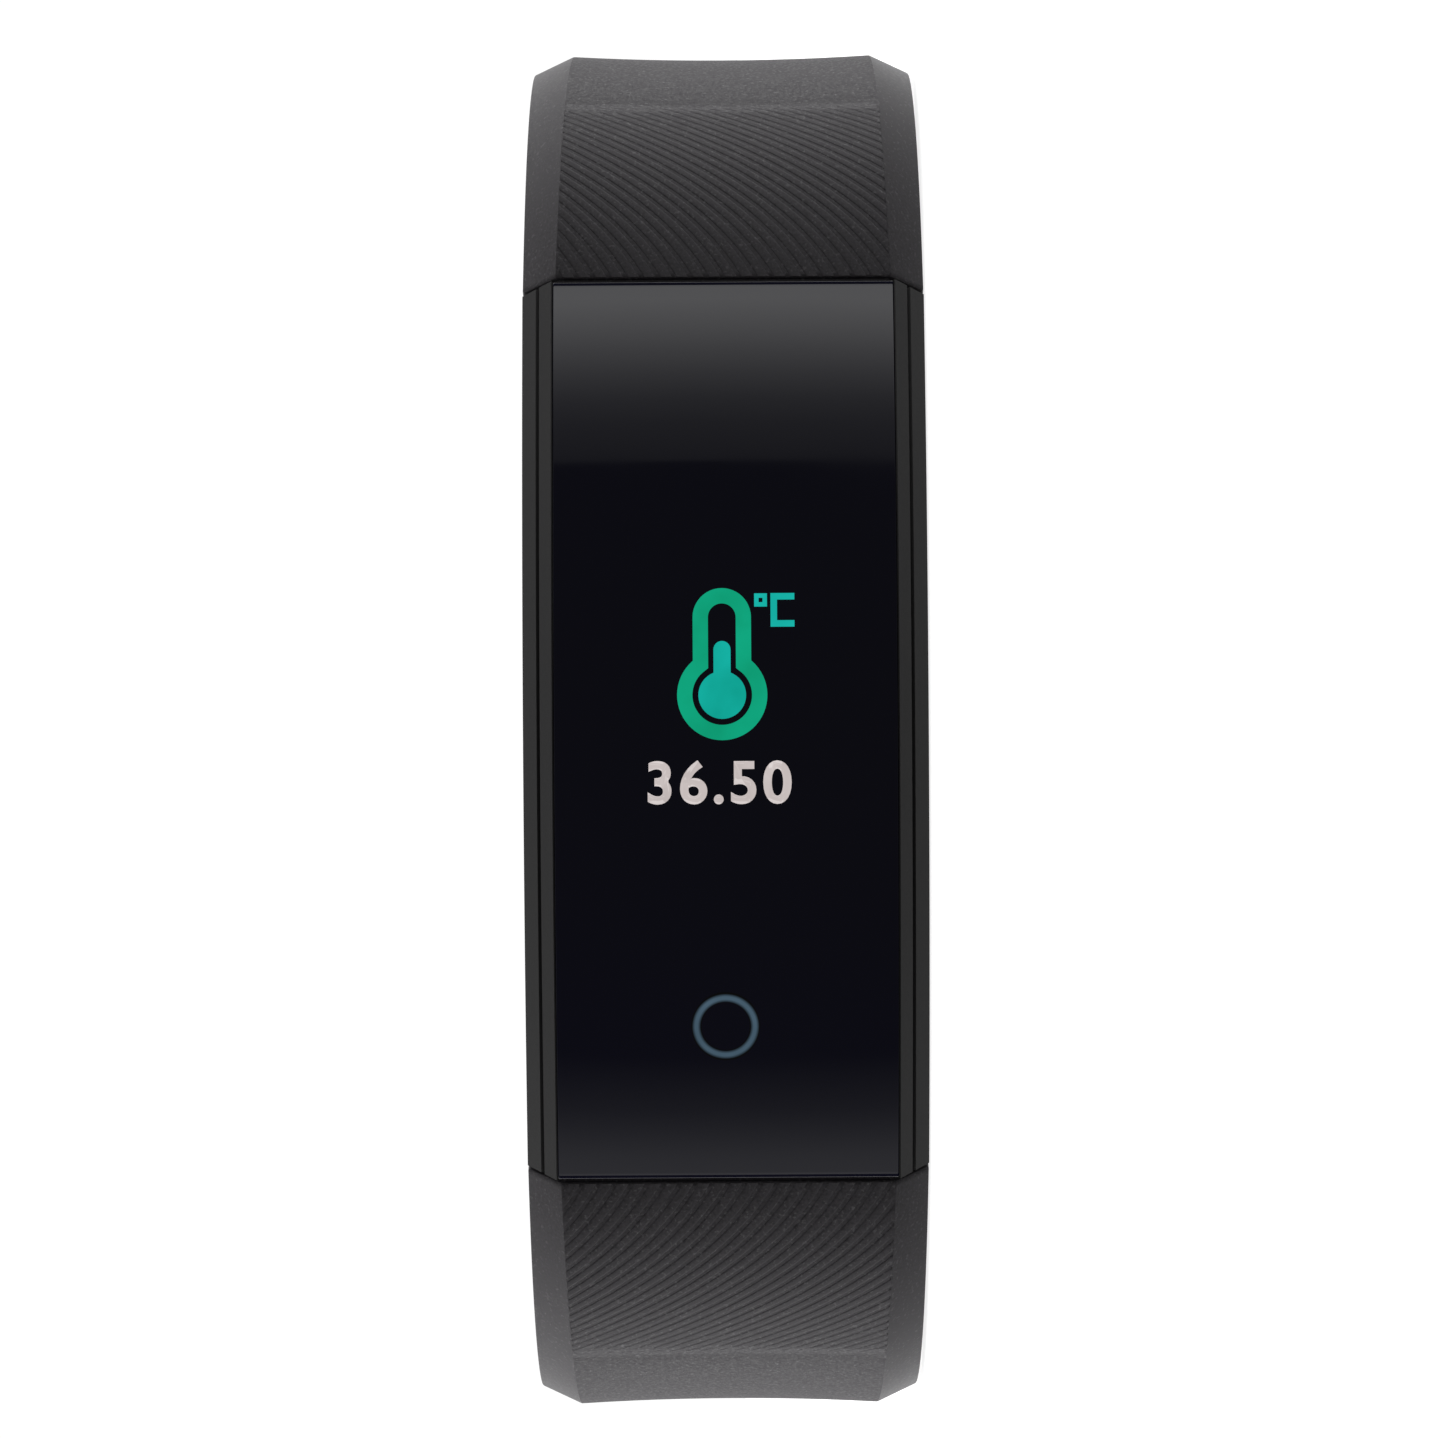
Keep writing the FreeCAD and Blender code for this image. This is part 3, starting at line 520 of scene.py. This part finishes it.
def buckle_strap():
    """The buckle half: a ridged cap, a band and an eye round the spring bar."""
    side = 1
    rings = strap_start(BUCKLE_RUNS, side, BUCKLE_WIDTHS)
    middle = STRAP_THICK / 2
    eye_start = math.sqrt(EYE_RADIUS**2 - middle**2)
    band = np.linspace(HINGE_AT + 5, BAR_AT - eye_start, 40)
    for distance in cap_stations() + [float(d) for d in band]:
        rings.append(strap_ring(BUCKLE_RUNS, side, BUCKLE_WIDTHS, distance))
    first = math.acos(-eye_start / EYE_RADIUS)
    for angle in np.linspace(first, 0.04, 18)[1:]:
        along = EYE_RADIUS * math.cos(angle)
        reach = EYE_RADIUS * math.sin(angle)
        rings.append(
            strap_ring(BUCKLE_RUNS, side, BUCKLE_WIDTHS, BAR_AT + along, middle - reach, middle + reach)
        )
    points, faces = skin(rings)
    kinds = kinds_of(faces, len(rings[0]))
    strap = make_object("buckle_strap", points, faces, RUBBER, "strap", second=PAINTED_LIGHTER_RUBBER, kinds=kinds)
    bar_x, bar_y, _ = follow(BUCKLE_RUNS, BAR_AT)
    bar_y -= middle
    turns = [math.tau * i / 32 for i in range(32)]
    bore = [(bar_x + BORE_RADIUS * math.cos(t), bar_y + BORE_RADIUS * math.sin(t)) for t in turns]
    cut_with(strap, cutter_from([[(x, y, z) for x, y in bore] for z in (MID_Z - 12, MID_Z + 12)]))
    near, far = bar_x - SLOT_NEAR, bar_x + SLOT_FAR
    low, high = MID_Z - SLOT_HALF, MID_Z + SLOT_HALF
    slot = rounded([(near, low), (far, low), (far, high), (near, high)], (0.1, 0.9, 0.9, 0.1), 6)
    cut_with(strap, cutter_from([[(x, y, z) for x, z in slot] for y in (bar_y - 4, bar_y + 4)]))
    strap.data.set_sharp_from_angle(angle=math.radians(35))
    return strap


def tail_strap():
    """The tail half: a ridged cap and a long band with a rounded tip and a row of holes."""
    side = -1
    rings = strap_start(TAIL_RUNS, side, TAIL_WIDTHS)
    band = [float(d) for d in np.linspace(HINGE_AT + 5.5, TAIL_END - TAIL_TIP, 60)]
    for distance in cap_stations() + band:
        rings.append(strap_ring(TAIL_RUNS, side, TAIL_WIDTHS, distance))
    for angle in np.linspace(0, math.pi / 2 * 0.985, 16)[1:]:
        distance = TAIL_END - TAIL_TIP * (1 - math.sin(angle))
        thin = 0.25 * max(0.0, math.sin(angle) - 0.9) / 0.1
        narrow = max(0.12, math.cos(angle))
        rings.append(strap_ring(TAIL_RUNS, side, TAIL_WIDTHS, distance, thin, STRAP_THICK - thin, narrow))
    points, faces = skin(rings)
    kinds = kinds_of(faces, len(rings[0]))
    strap = make_object("tail_strap", points, faces, RUBBER, "strap", second=PAINTED_LIGHTER_RUBBER, kinds=kinds)
    length, width = HOLE_SIZE
    run = (length - width) / 2
    for i in range(TAIL_HOLES):
        centre = TAIL_END - FIRST_HOLE - i * HOLE_PITCH
        x, y, heading = follow(TAIL_RUNS, centre)
        outline = []
        for j in range(32):
            turn = math.tau * j / 32
            u = math.cos(turn) * width / 2 + math.copysign(run, math.cos(turn))
            outline.append((u, math.sin(turn) * width / 2))
        layers = []
        for depth in (-1.0, STRAP_THICK + 1.0):
            layer = []
            for u, w in outline:
                px = x + math.cos(heading) * u - math.sin(heading) * depth
                py = y + math.sin(heading) * u + math.cos(heading) * depth
                layer.append((side * px, py, MID_Z + w))
            layers.append(layer)
        cut_with(strap, cutter_from(layers))
    strap.data.set_sharp_from_angle(angle=math.radians(35))
    return strap


def ridge_course(distance):
    """How far a ridge has moved across the strap, this far from the seam; it bends gently."""
    return 0.54 * distance + 0.0585 * distance * distance


RIDGE_SECTION = (
    (-1.0, -0.5),
    (-0.94, 0.35),
    (-0.78, 0.82),
    (-0.45, 1.0),
    (0.0, 1.03),
    (0.45, 1.0),
    (0.78, 0.82),
    (0.94, 0.35),
    (1.0, -0.5),
)  # (share of the half width, share of the height)


def ridge_span(table, offset):
    """The stretch of strap over which a ridge line lies inside the panel."""
    inside = []
    for distance in np.arange(0.06, PANEL_END - 0.05, 0.02):
        w = offset + ridge_course(distance)
        if abs(w) <= widths_at(table, distance)[0] - 0.02:
            inside.append(float(distance))
    return (inside[0], inside[-1]) if inside else None


def ridges(name, runs, side, table, body):
    """The diagonal ridges of a panel, each a rounded bar cut off where the flat of the strap ends."""
    points, faces = [], []
    steps = 22
    count = len(RIDGE_SECTION)
    first = -PANEL_HALF - ridge_course(PANEL_END)
    total = int((2 * PANEL_HALF + ridge_course(PANEL_END)) / RIDGE_PITCH)
    for i in range(total + 1):
        centre = first + i * RIDGE_PITCH
        spans = [ridge_span(table, centre + share * RIDGE_HALF) for share, _ in RIDGE_SECTION]
        if None in spans or min(b - a for a, b in spans) < 0.05:
            continue
        base = len(points)
        for step in range(steps + 1):
            for (share, rise), (low, high) in zip(RIDGE_SECTION, spans):
                distance = low + (high - low) * step / steps
                w = centre + share * RIDGE_HALF + ridge_course(distance)
                flat = widths_at(table, distance)[0]
                height = RIDGE_HEIGHT * float(np.interp(distance, RIDGE_FADE[0], RIDGE_FADE[1]))
                depth = recess_at(distance) + hollow_at(distance, w / flat) - rise * height
                points.append(on_strap(runs, side, distance, w, depth))
        for step in range(steps):
            for j in range(count):
                k = (j + 1) % count
                a = base + step * count
                faces.append((a + j, a + k, a + count + k, a + count + j))
        faces.append(tuple(base + j for j in reversed(range(count))))
        faces.append(tuple(base + steps * count + j for j in range(count)))
    return make_object(name, points, faces, RUBBER, "strap", body, 50.0)


def straps():
    """Both strap halves; the ridges of each ride on its cap."""
    buckle = buckle_strap()
    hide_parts("buckle_strap_cap", "buckle_strap_band")
    tail = tail_strap()
    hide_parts("tail_strap_cap", "tail_strap_band")
    x, y, _ = follow(TAIL_RUNS, HINGE_AT)
    for strap, side, cap, end in (
        (buckle, 1, "buckle_strap", "buckle_strap_end"),
        (tail, -1, "tail_strap", "tail_strap_end"),
    ):
        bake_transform(strap)
    ridges("buckle_strap_ridges", BUCKLE_RUNS, 1, BUCKLE_WIDTHS, "buckle_strap")
    ridges("tail_strap_ridges", TAIL_RUNS, -1, TAIL_WIDTHS, "tail_strap")


# ---- spring of the spring bar ----
SPRING_HALF = 3.39  # from the middle of the bar to the inner end of a tip
SPRING_RADIUS = 0.34
SPRING_WIRE = 0.07
SPRING_TURNS = 8
SPRING_STEPS = 16  # in each turn


def spring():
    """The coil spring in two halves, one each side of the middle of the bar."""
    x, y, _ = follow(BUCKLE_RUNS, BAR_AT)
    y -= STRAP_THICK / 2
    for name, side in (("upper", 1), ("lower", -1)):
        rings = []
        for i in range(SPRING_TURNS * SPRING_STEPS + 1):
            turn = math.tau * i / SPRING_STEPS
            outward = Vector((math.cos(turn), side * math.sin(turn), 0))
            rise = SPRING_WIRE + (SPRING_HALF - 2 * SPRING_WIRE) * i / (SPRING_TURNS * SPRING_STEPS)
            centre = Vector((x, y, MID_Z + side * rise)) + outward * SPRING_RADIUS
            ring = []
            for j in range(8):
                around = math.tau * j / 8
                spoke = outward * math.cos(around) + Vector((0, 0, math.sin(around)))
                ring.append(tuple(centre + SPRING_WIRE * spoke))
            rings.append(ring)
        half = make_object("spring_" + name, *skin(rings), STEEL, "steel", "buckle_strap_end")
        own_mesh(half)
        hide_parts("spring_bar_spring")


# ---- lens and screen ----
def on_case(angle, across, depth):
    """A point at an angle in radians about the case's axis, across it, and at a depth below the lens."""
    radius = LENS_RADIUS - depth
    return (radius * math.sin(angle), CASE_AXIS_Y - radius * math.cos(angle), MID_Z + across)


def lens():
    """The convex cover lens, with rounded edges all round."""
    outline = [(-LENS_HALF, 0), (LENS_HALF, 0), (LENS_HALF, LENS_THICK), (-LENS_HALF, LENS_THICK)]
    half = math.radians(END_ANGLE - 0.05)
    rim = [(0.0, 0.04), (0.012, 0.012), (0.04, 0.0)]
    stations = [(-half + d / LENS_RADIUS, i) for d, i in rim]
    inner = np.linspace(-half + 0.3 / LENS_RADIUS, half - 0.3 / LENS_RADIUS, 121)
    stations += [(float(a), 0.0) for a in inner]
    stations += [(half - d / LENS_RADIUS, i) for d, i in reversed(rim)]
    rings = []
    for angle, inset in stations:
        drawn = [(w - math.copysign(inset, w), d + inset if d == 0 else d) for w, d in outline]
        loop = rounded(drawn, (0.06, 0.06, 0.05, 0.05), 4)
        rings.append([on_case(angle, w, d) for w, d in loop])
    points, faces = skin(rings)
    made = make_object("lens", points, faces, GLASS, "lens", "module", 50.0)
    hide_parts("cover_lens")


def on_lens(x, across, lift):
    """A point on the lens at x, lifted by a little."""
    return on_case(math.asin(x / LENS_RADIUS), across, -lift)


GRAPHIC_TOP = 0.012
GRAPHIC_BOTTOM = -0.03


def stroke(path, width, closed=False):
    """Points and faces of a line of even width, laid on the lens along (x, across) points."""
    rings = []
    count = len(path)
    for i, here in enumerate(path):
        before = Vector(path[i - 1] if i or closed else here)
        after = Vector(path[(i + 1) % count] if i < count - 1 or closed else here)
        away = (after - Vector(here)).normalized()
        into = (Vector(here) - before).normalized() if i or closed else away
        away = away if i < count - 1 or closed else into
        along = (into + away).normalized()
        out = Vector((-along.y, along.x)) * width / 2 / max(0.5, along.dot(into))
        left = Vector(here) + out
        right = Vector(here) - out
        top = [on_lens(*left, GRAPHIC_TOP), on_lens(*right, GRAPHIC_TOP)]
        bottom = [on_lens(*right, GRAPHIC_BOTTOM), on_lens(*left, GRAPHIC_BOTTOM)]
        rings.append(top + bottom)
    if closed:
        rings.append(rings[0])
    return skin(rings, not closed, not closed)


def plate(outline):
    """Points and faces of a filled outline laid on the lens."""
    top = [on_lens(x, w, GRAPHIC_TOP) for x, w in outline]
    bottom = [on_lens(x, w, GRAPHIC_BOTTOM) for x, w in outline]
    return skin([top, bottom])


def together(*parts):
    """Several sets of points and faces as one."""
    points, faces = [], []
    for more_points, more_faces in parts:
        base = len(points)
        points += more_points
        faces += [tuple(base + i for i in face) for face in more_faces]
    return points, faces


def arc(cx, cw, radius, start, end, steps=24):
    """Points (x, across) round a centre; 0 degrees is towards 12 o'clock, 90 towards 3 o'clock."""
    turns = np.radians(np.linspace(start, end, steps + 1))
    return [(cx + radius * math.cos(t), cw - radius * math.sin(t)) for t in turns]


BULB = (1.71, 0.17)  # centre of the thermometer's bulb, as x and across
STEM_TOP = 6.95
BULB_OUTER = 2.21
STEM_HALF = 1.43
LINE = 0.75
FILL_RADIUS = 1.17
FILL_HALF = 0.42
FILL_TOP = 4.36
TOUCH_RING = (-14.58, 0.10)
TOUCH_RADIUS = 1.44
TOUCH_LINE = 0.48
TOUCH_FADE = 0.21  # the ring's colour is gone this far from its circle
READING = (-3.54, 0.37)  # x of its base line, and the place across of its middle


def screen():
    """Thermometer, unit, reading and touch ring, in thin plates that follow the lens."""
    green = glowing("screen_green", linear(4, 152, 112), linear(8, 168, 128))
    teal = glowing("screen_teal", linear(5, 158, 142), linear(14, 176, 162))
    unit = glowing("screen_unit", linear(14, 172, 160), linear(24, 186, 176))
    white = glowing("screen_white", linear(190, 180, 178), linear(204, 194, 192))
    blue = glowing("touch_blue", linear(58, 78, 92), linear(70, 92, 108))
    soft_ring(blue, on_lens(*TOUCH_RING, 0.0), TOUCH_RADIUS, TOUCH_FADE)

    bulb_line = BULB_OUTER - LINE / 2
    stem_line = STEM_HALF - LINE / 2
    meet = math.degrees(math.asin(stem_line / bulb_line))
    outline = arc(*BULB, bulb_line, meet, 360 - meet, 48)
    outline += arc(STEM_TOP - STEM_HALF, BULB[1], stem_line, 270, 450, 24)
    make_object("screen_thermometer", *stroke(outline, LINE, True), green, "display", "module")

    neck = math.degrees(math.asin(FILL_HALF / FILL_RADIUS))
    fill = arc(*BULB, FILL_RADIUS, neck, 360 - neck, 40)
    fill += arc(FILL_TOP - FILL_HALF, BULB[1], FILL_HALF, 270, 450, 12)
    make_object("screen_thermometer_fill", *plate(fill), teal, "display", "module")

    near, far = BULB[1] - 1.70, BULB[1] - 2.11
    degree = [(6.57, near), (6.57, far), (6.14, far), (6.14, near)]
    near, far = BULB[1] - 2.55, BULB[1] - 3.56
    letter = [(6.53, far), (6.53, near), (5.2, near), (5.2, far)]
    shapes = together(stroke(degree, 0.22, True), stroke(letter, 0.32))
    make_object("screen_unit", *shapes, unit, "display", "module")
    digits(white)

    ring = arc(*TOUCH_RING, TOUCH_RADIUS, 0, 360, 64)[:-1]
    make_object("touch_ring", *stroke(ring, TOUCH_LINE, True), blue, "display", "module")


def digits(material):
    """A reading in generic numerals, from the built-in font."""
    text = bpy.data.curves.new("reading", "FONT")
    text.body = "36.50"
    text.size = 2.85
    text.offset = 0.07
    text.space_character = 1.15
    text.align_x = "CENTER"
    text.resolution_u = 6
    holder = bpy.data.objects.new("reading", text)
    bpy.context.scene.collection.objects.link(holder)
    graph = bpy.context.evaluated_depsgraph_get()
    flat = bpy.data.meshes.new_from_object(holder.evaluated_get(graph))
    bpy.data.objects.remove(holder)
    bpy.data.curves.remove(text)
    work = bmesh.new()
    work.from_mesh(flat)
    bpy.data.meshes.remove(flat)
    bmesh.ops.remove_doubles(work, verts=work.verts, dist=1e-4)
    bmesh.ops.dissolve_limit(work, angle_limit=0.01, verts=work.verts, edges=work.edges)
    extruded = bmesh.ops.extrude_face_region(work, geom=work.faces[:])
    low = {v for v in extruded["geom"] if isinstance(v, bmesh.types.BMVert)}
    base_x, centre = READING
    for v in work.verts:
        lift = GRAPHIC_BOTTOM if v in low else GRAPHIC_TOP
        v.co = Vector(on_lens(base_x + v.co.y, centre - v.co.x, lift)) * MM
    bmesh.ops.recalc_face_normals(work, faces=work.faces)
    mesh = bpy.data.meshes.new("screen_reading")
    work.to_mesh(mesh)
    work.free()
    mesh.materials.append(material)
    made = bpy.data.objects.new("screen_reading", mesh)
    bpy.context.scene.collection.objects.link(made)
    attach(made, "module")


# ---- carried-over CAD pieces ----
def finish_cad_nodes():
    """Gives every CAD node a material of its own kind."""
    solder_mask = moulded_plastic("solder_mask", (0.01, 0.09, 0.04), 0.35)
    black_mask = moulded_plastic("black_mask", (0.012, 0.012, 0.014), 0.35)
    chip_plastic = moulded_plastic("chip_plastic", (0.015, 0.015, 0.016), 0.6)
    ceramic = moulded_plastic("ceramic", (0.42, 0.3, 0.2), 0.5)
    film = moulded_plastic("polyimide", (0.42, 0.17, 0.02), 0.3)
    foam = moulded_plastic("foam", (0.02, 0.02, 0.02), 0.9, 0.3, 0.03)
    pouch = brushed_metal("pouch_foil", (0.55, 0.57, 0.6), 0.4)
    gold = brushed_metal("gold_plate", (0.85, 0.6, 0.22), 0.22)
    red = moulded_plastic("lead_red", (0.5, 0.02, 0.02), 0.4)
    white = moulded_plastic("diffuser", (0.75, 0.75, 0.73), 0.5)
    green = moulded_plastic("led_green", (0.1, 0.6, 0.2), 0.2)
    tinted = moulded_plastic("tinted_window", (0.01, 0.01, 0.012), 0.1, 0.5, 0.001)
    by_slot = {
        "frame_plastic": FRAME_PLASTIC,
        "case_plastic": CASE_PLASTIC,
        "buckle": BUCKLE_METAL,
        "steel": STEEL,
        "can": STEEL,
        "cell": pouch,
        "display": black_mask,
        "backlight": white,
        "flex": film,
        "board": solder_mask,
        "plug_board": black_mask,
        "gold": gold,
        "chip": chip_plastic,
        "ceramic": ceramic,
        "led": green,
        "photodiode": tinted,
        "window": tinted,
        "adhesive": foam,
        "seal": foam,
        "lead_red": red,
        "lead_black": foam,
        "strap": RUBBER,
        "lens": GLASS,
    }
    for part in frame["record"]["subparts"]:
        node = frame["nodes"][part["node"]]
        node.data.materials.clear()
        node.data.materials.append(by_slot[part["material_slot"]])
    for name, width in (("buckle_frame", 0.15), ("buckle_tongue", 0.25)):
        soften(frame["nodes"][name], width)


def soften(node, width):
    """Rounds the edges of a CAD piece, with a modifier only."""
    step = node.modifiers.new("soft_edges", "BEVEL")
    step.width = width * MM
    step.segments = 3
    step.limit_method = "ANGLE"
    step.angle_limit = math.radians(40)
    step.harden_normals = True


# ---- stage, lights and camera ----
KEY_TOP = ((76, 2.75), (130, 2.3))
KEY_BOTTOM = ((-130, 2.3), (-74, 3.2))
TOP_FADE = (
    (24.4, 0.13),
    (28.0, 0.22),
    (30.3, 0.36),
    (32.5, 0.63),
    (34.7, 1.0),
    (36.9, 1.45),
    (39.5, 1.95),
    (52.0, 1.6),
)  # (angle, radiance)
BOTTOM_FADE = ((-52, 0.9), (-39.5, 0.48), (-37, 0.28), (-35, 0.15), (-32.7, 0.08), (-30, 0.0))


def pale_floor():
    """A pale floor that glows to white away from the band, and takes no part in the reflections."""
    far = 2500
    points = [(-far, -far, 0), (far, -far, 0), (far, far, 0), (-far, far, 0)]
    mesh = bpy.data.meshes.new("floor")
    mesh.from_pydata([tuple(MM * c for c in p) for p in points], [], [(0, 1, 2, 3)])
    material, tree, shader = new_material("floor", (0.5, 0.5, 0.5), 0.9)
    shader.inputs["Emission Color"].default_value = (1, 1, 1, 1)
    where = tree.nodes.new("ShaderNodeTexCoord")
    reach = tree.nodes.new("ShaderNodeVectorMath")
    reach.operation = "LENGTH"
    tree.links.new(where.outputs["Object"], reach.inputs[0])
    glow = ranged(tree, reach.outputs["Value"], 0.8, 1.0, (0.15, 0.35))
    tree.links.new(glow, shader.inputs["Emission Strength"])
    mesh.materials.append(material)
    floor = bpy.data.objects.new("floor", mesh)
    floor.visible_glossy = False
    floor.visible_diffuse = False
    floor.visible_shadow = False
    bpy.context.scene.collection.objects.link(floor)


def lights():
    """A pair of softboxes off each end of the band, and a wide light above and below."""
    softbox("key_top", 76, 130, KEY_TOP, 0.8, 0.14)
    softbox("key_bottom", -130, -74, KEY_BOTTOM, 0.8, 0.14)
    for lamp in (softbox("fade_top", 24.4, 52, TOP_FADE), softbox("fade_bottom", -52, -30, BOTTOM_FADE)):
        lamp.visible_diffuse = False

    wide_light("above", (-0.2, -0.1, 0.6), 0.6)
    wide_light("below", (0.0, -0.1, -0.6), 0.25)


def surroundings():
    """A white world, which lights the band less from the camera's side than from behind."""
    world = bpy.data.worlds.new("studio")
    world.use_nodes = True
    nodes = world.node_tree.nodes
    background = nodes["Background"]
    background.inputs["Color"].default_value = (1, 1, 1, 1)
    links = world.node_tree.links
    where = nodes.new("ShaderNodeTexCoord")
    split = nodes.new("ShaderNodeSeparateXYZ")
    links.new(where.outputs["Generated"], split.inputs["Vector"])
    around = ranged(world.node_tree, split.outputs["Y"], 0.09, 0.9, (0.0, 0.5))
    path = nodes.new("ShaderNodeLightPath")
    strength = nodes.new("ShaderNodeMix")
    strength.inputs["B"].default_value = 1.05
    links.new(path.outputs["Is Camera Ray"], strength.inputs["Factor"])
    links.new(around, strength.inputs["A"])
    links.new(strength.outputs["Result"], background.inputs["Strength"])
    bpy.context.scene.world = world


def wide_light(name, place, power):
    """A wide light level with the floor, above the band or under the floor; it faces the floor."""
    light = bpy.data.lights.new(name, "AREA")
    light.shape = "RECTANGLE"
    light.size, light.size_y = 0.8, 0.5
    light.energy = power
    lamp = bpy.data.objects.new(name, light)
    lamp.location = place
    if place[2] < 0:
        lamp.rotation_euler = (math.pi, 0, 0)
    lamp.visible_camera = False
    bpy.context.scene.collection.objects.link(lamp)


def softbox(name, start, end, levels, height=0.6, lift=0.0, distance=0.45):
    """An area light that covers a span of angles round the band, seen from its middle.

    Angles are measured from the camera's side towards 12 o'clock, and levels are (angle, radiance).
    """
    middle = math.radians((start + end) / 2)
    width = 2 * distance * math.tan(math.radians(end - start) / 2)
    light = bpy.data.lights.new(name, "AREA")
    light.shape = "RECTANGLE"
    light.size = width
    light.size_y = height
    light.energy = math.pi * width * height
    light.use_nodes = True
    nodes = light.node_tree.nodes
    links = light.node_tree.links
    place = nodes.new("ShaderNodeNewGeometry")
    split = nodes.new("ShaderNodeSeparateXYZ")
    curve = nodes.new("ShaderNodeFloatCurve")
    links.new(place.outputs["Parametric"], split.inputs["Vector"])
    links.new(split.outputs["X"], curve.inputs["Value"])
    links.new(curve.outputs["Value"], nodes["Emission"].inputs["Strength"])
    top = max(level for _, level in levels)
    points = curve.mapping.curves[0].points
    while len(points) < len(levels):
        points.new(0.5, 0.5)
    for point, (angle, level) in zip(points, sorted(levels)):
        u = 0.5 + math.tan(math.radians(angle) - middle) * distance / width
        point.location = (min(1.0, max(0.0, u)), level / top)
        point.handle_type = "VECTOR"
    curve.mapping.update()
    light.energy *= top

    lamp = bpy.data.objects.new(name, light)
    direction = Vector((math.sin(middle), -math.cos(middle), 0))
    lamp.location = direction * distance + Vector((0, 0.01, MID_Z * MM + lift))
    facing = -direction
    side = facing.cross(Vector((0, 0, 1)))
    lamp.rotation_euler = Matrix((side, Vector((0, 0, 1)), -facing)).transposed().to_euler()
    lamp.visible_camera = False
    bpy.context.scene.collection.objects.link(lamp)
    return lamp


CAMERA_PLACE = (0.54, -305.5, 10.335)
CAMERA_LENS = 153.5
CAMERA_ROLL = -0.36


def camera():
    """Head-on to the display, with 12 o'clock up."""
    data = bpy.data.cameras.new("camera")
    data.sensor_width = 36.0
    data.lens = CAMERA_LENS
    made = bpy.data.objects.new("camera", data)
    up = Matrix(((0, 1, 0), (0, 0, -1), (-1, 0, 0))).to_4x4()
    roll = Matrix.Rotation(math.radians(CAMERA_ROLL), 4, "Z")
    made.matrix_world = Matrix.Translation(Vector(CAMERA_PLACE) * MM) @ up @ roll
    bpy.context.scene.collection.objects.link(made)
    bpy.context.scene.camera = made


finish_cad_nodes()
straps()
spring()
lens()
screen()
pale_floor()
lights()
surroundings()
camera()
bpy.context.scene.view_settings.view_transform = "Standard"
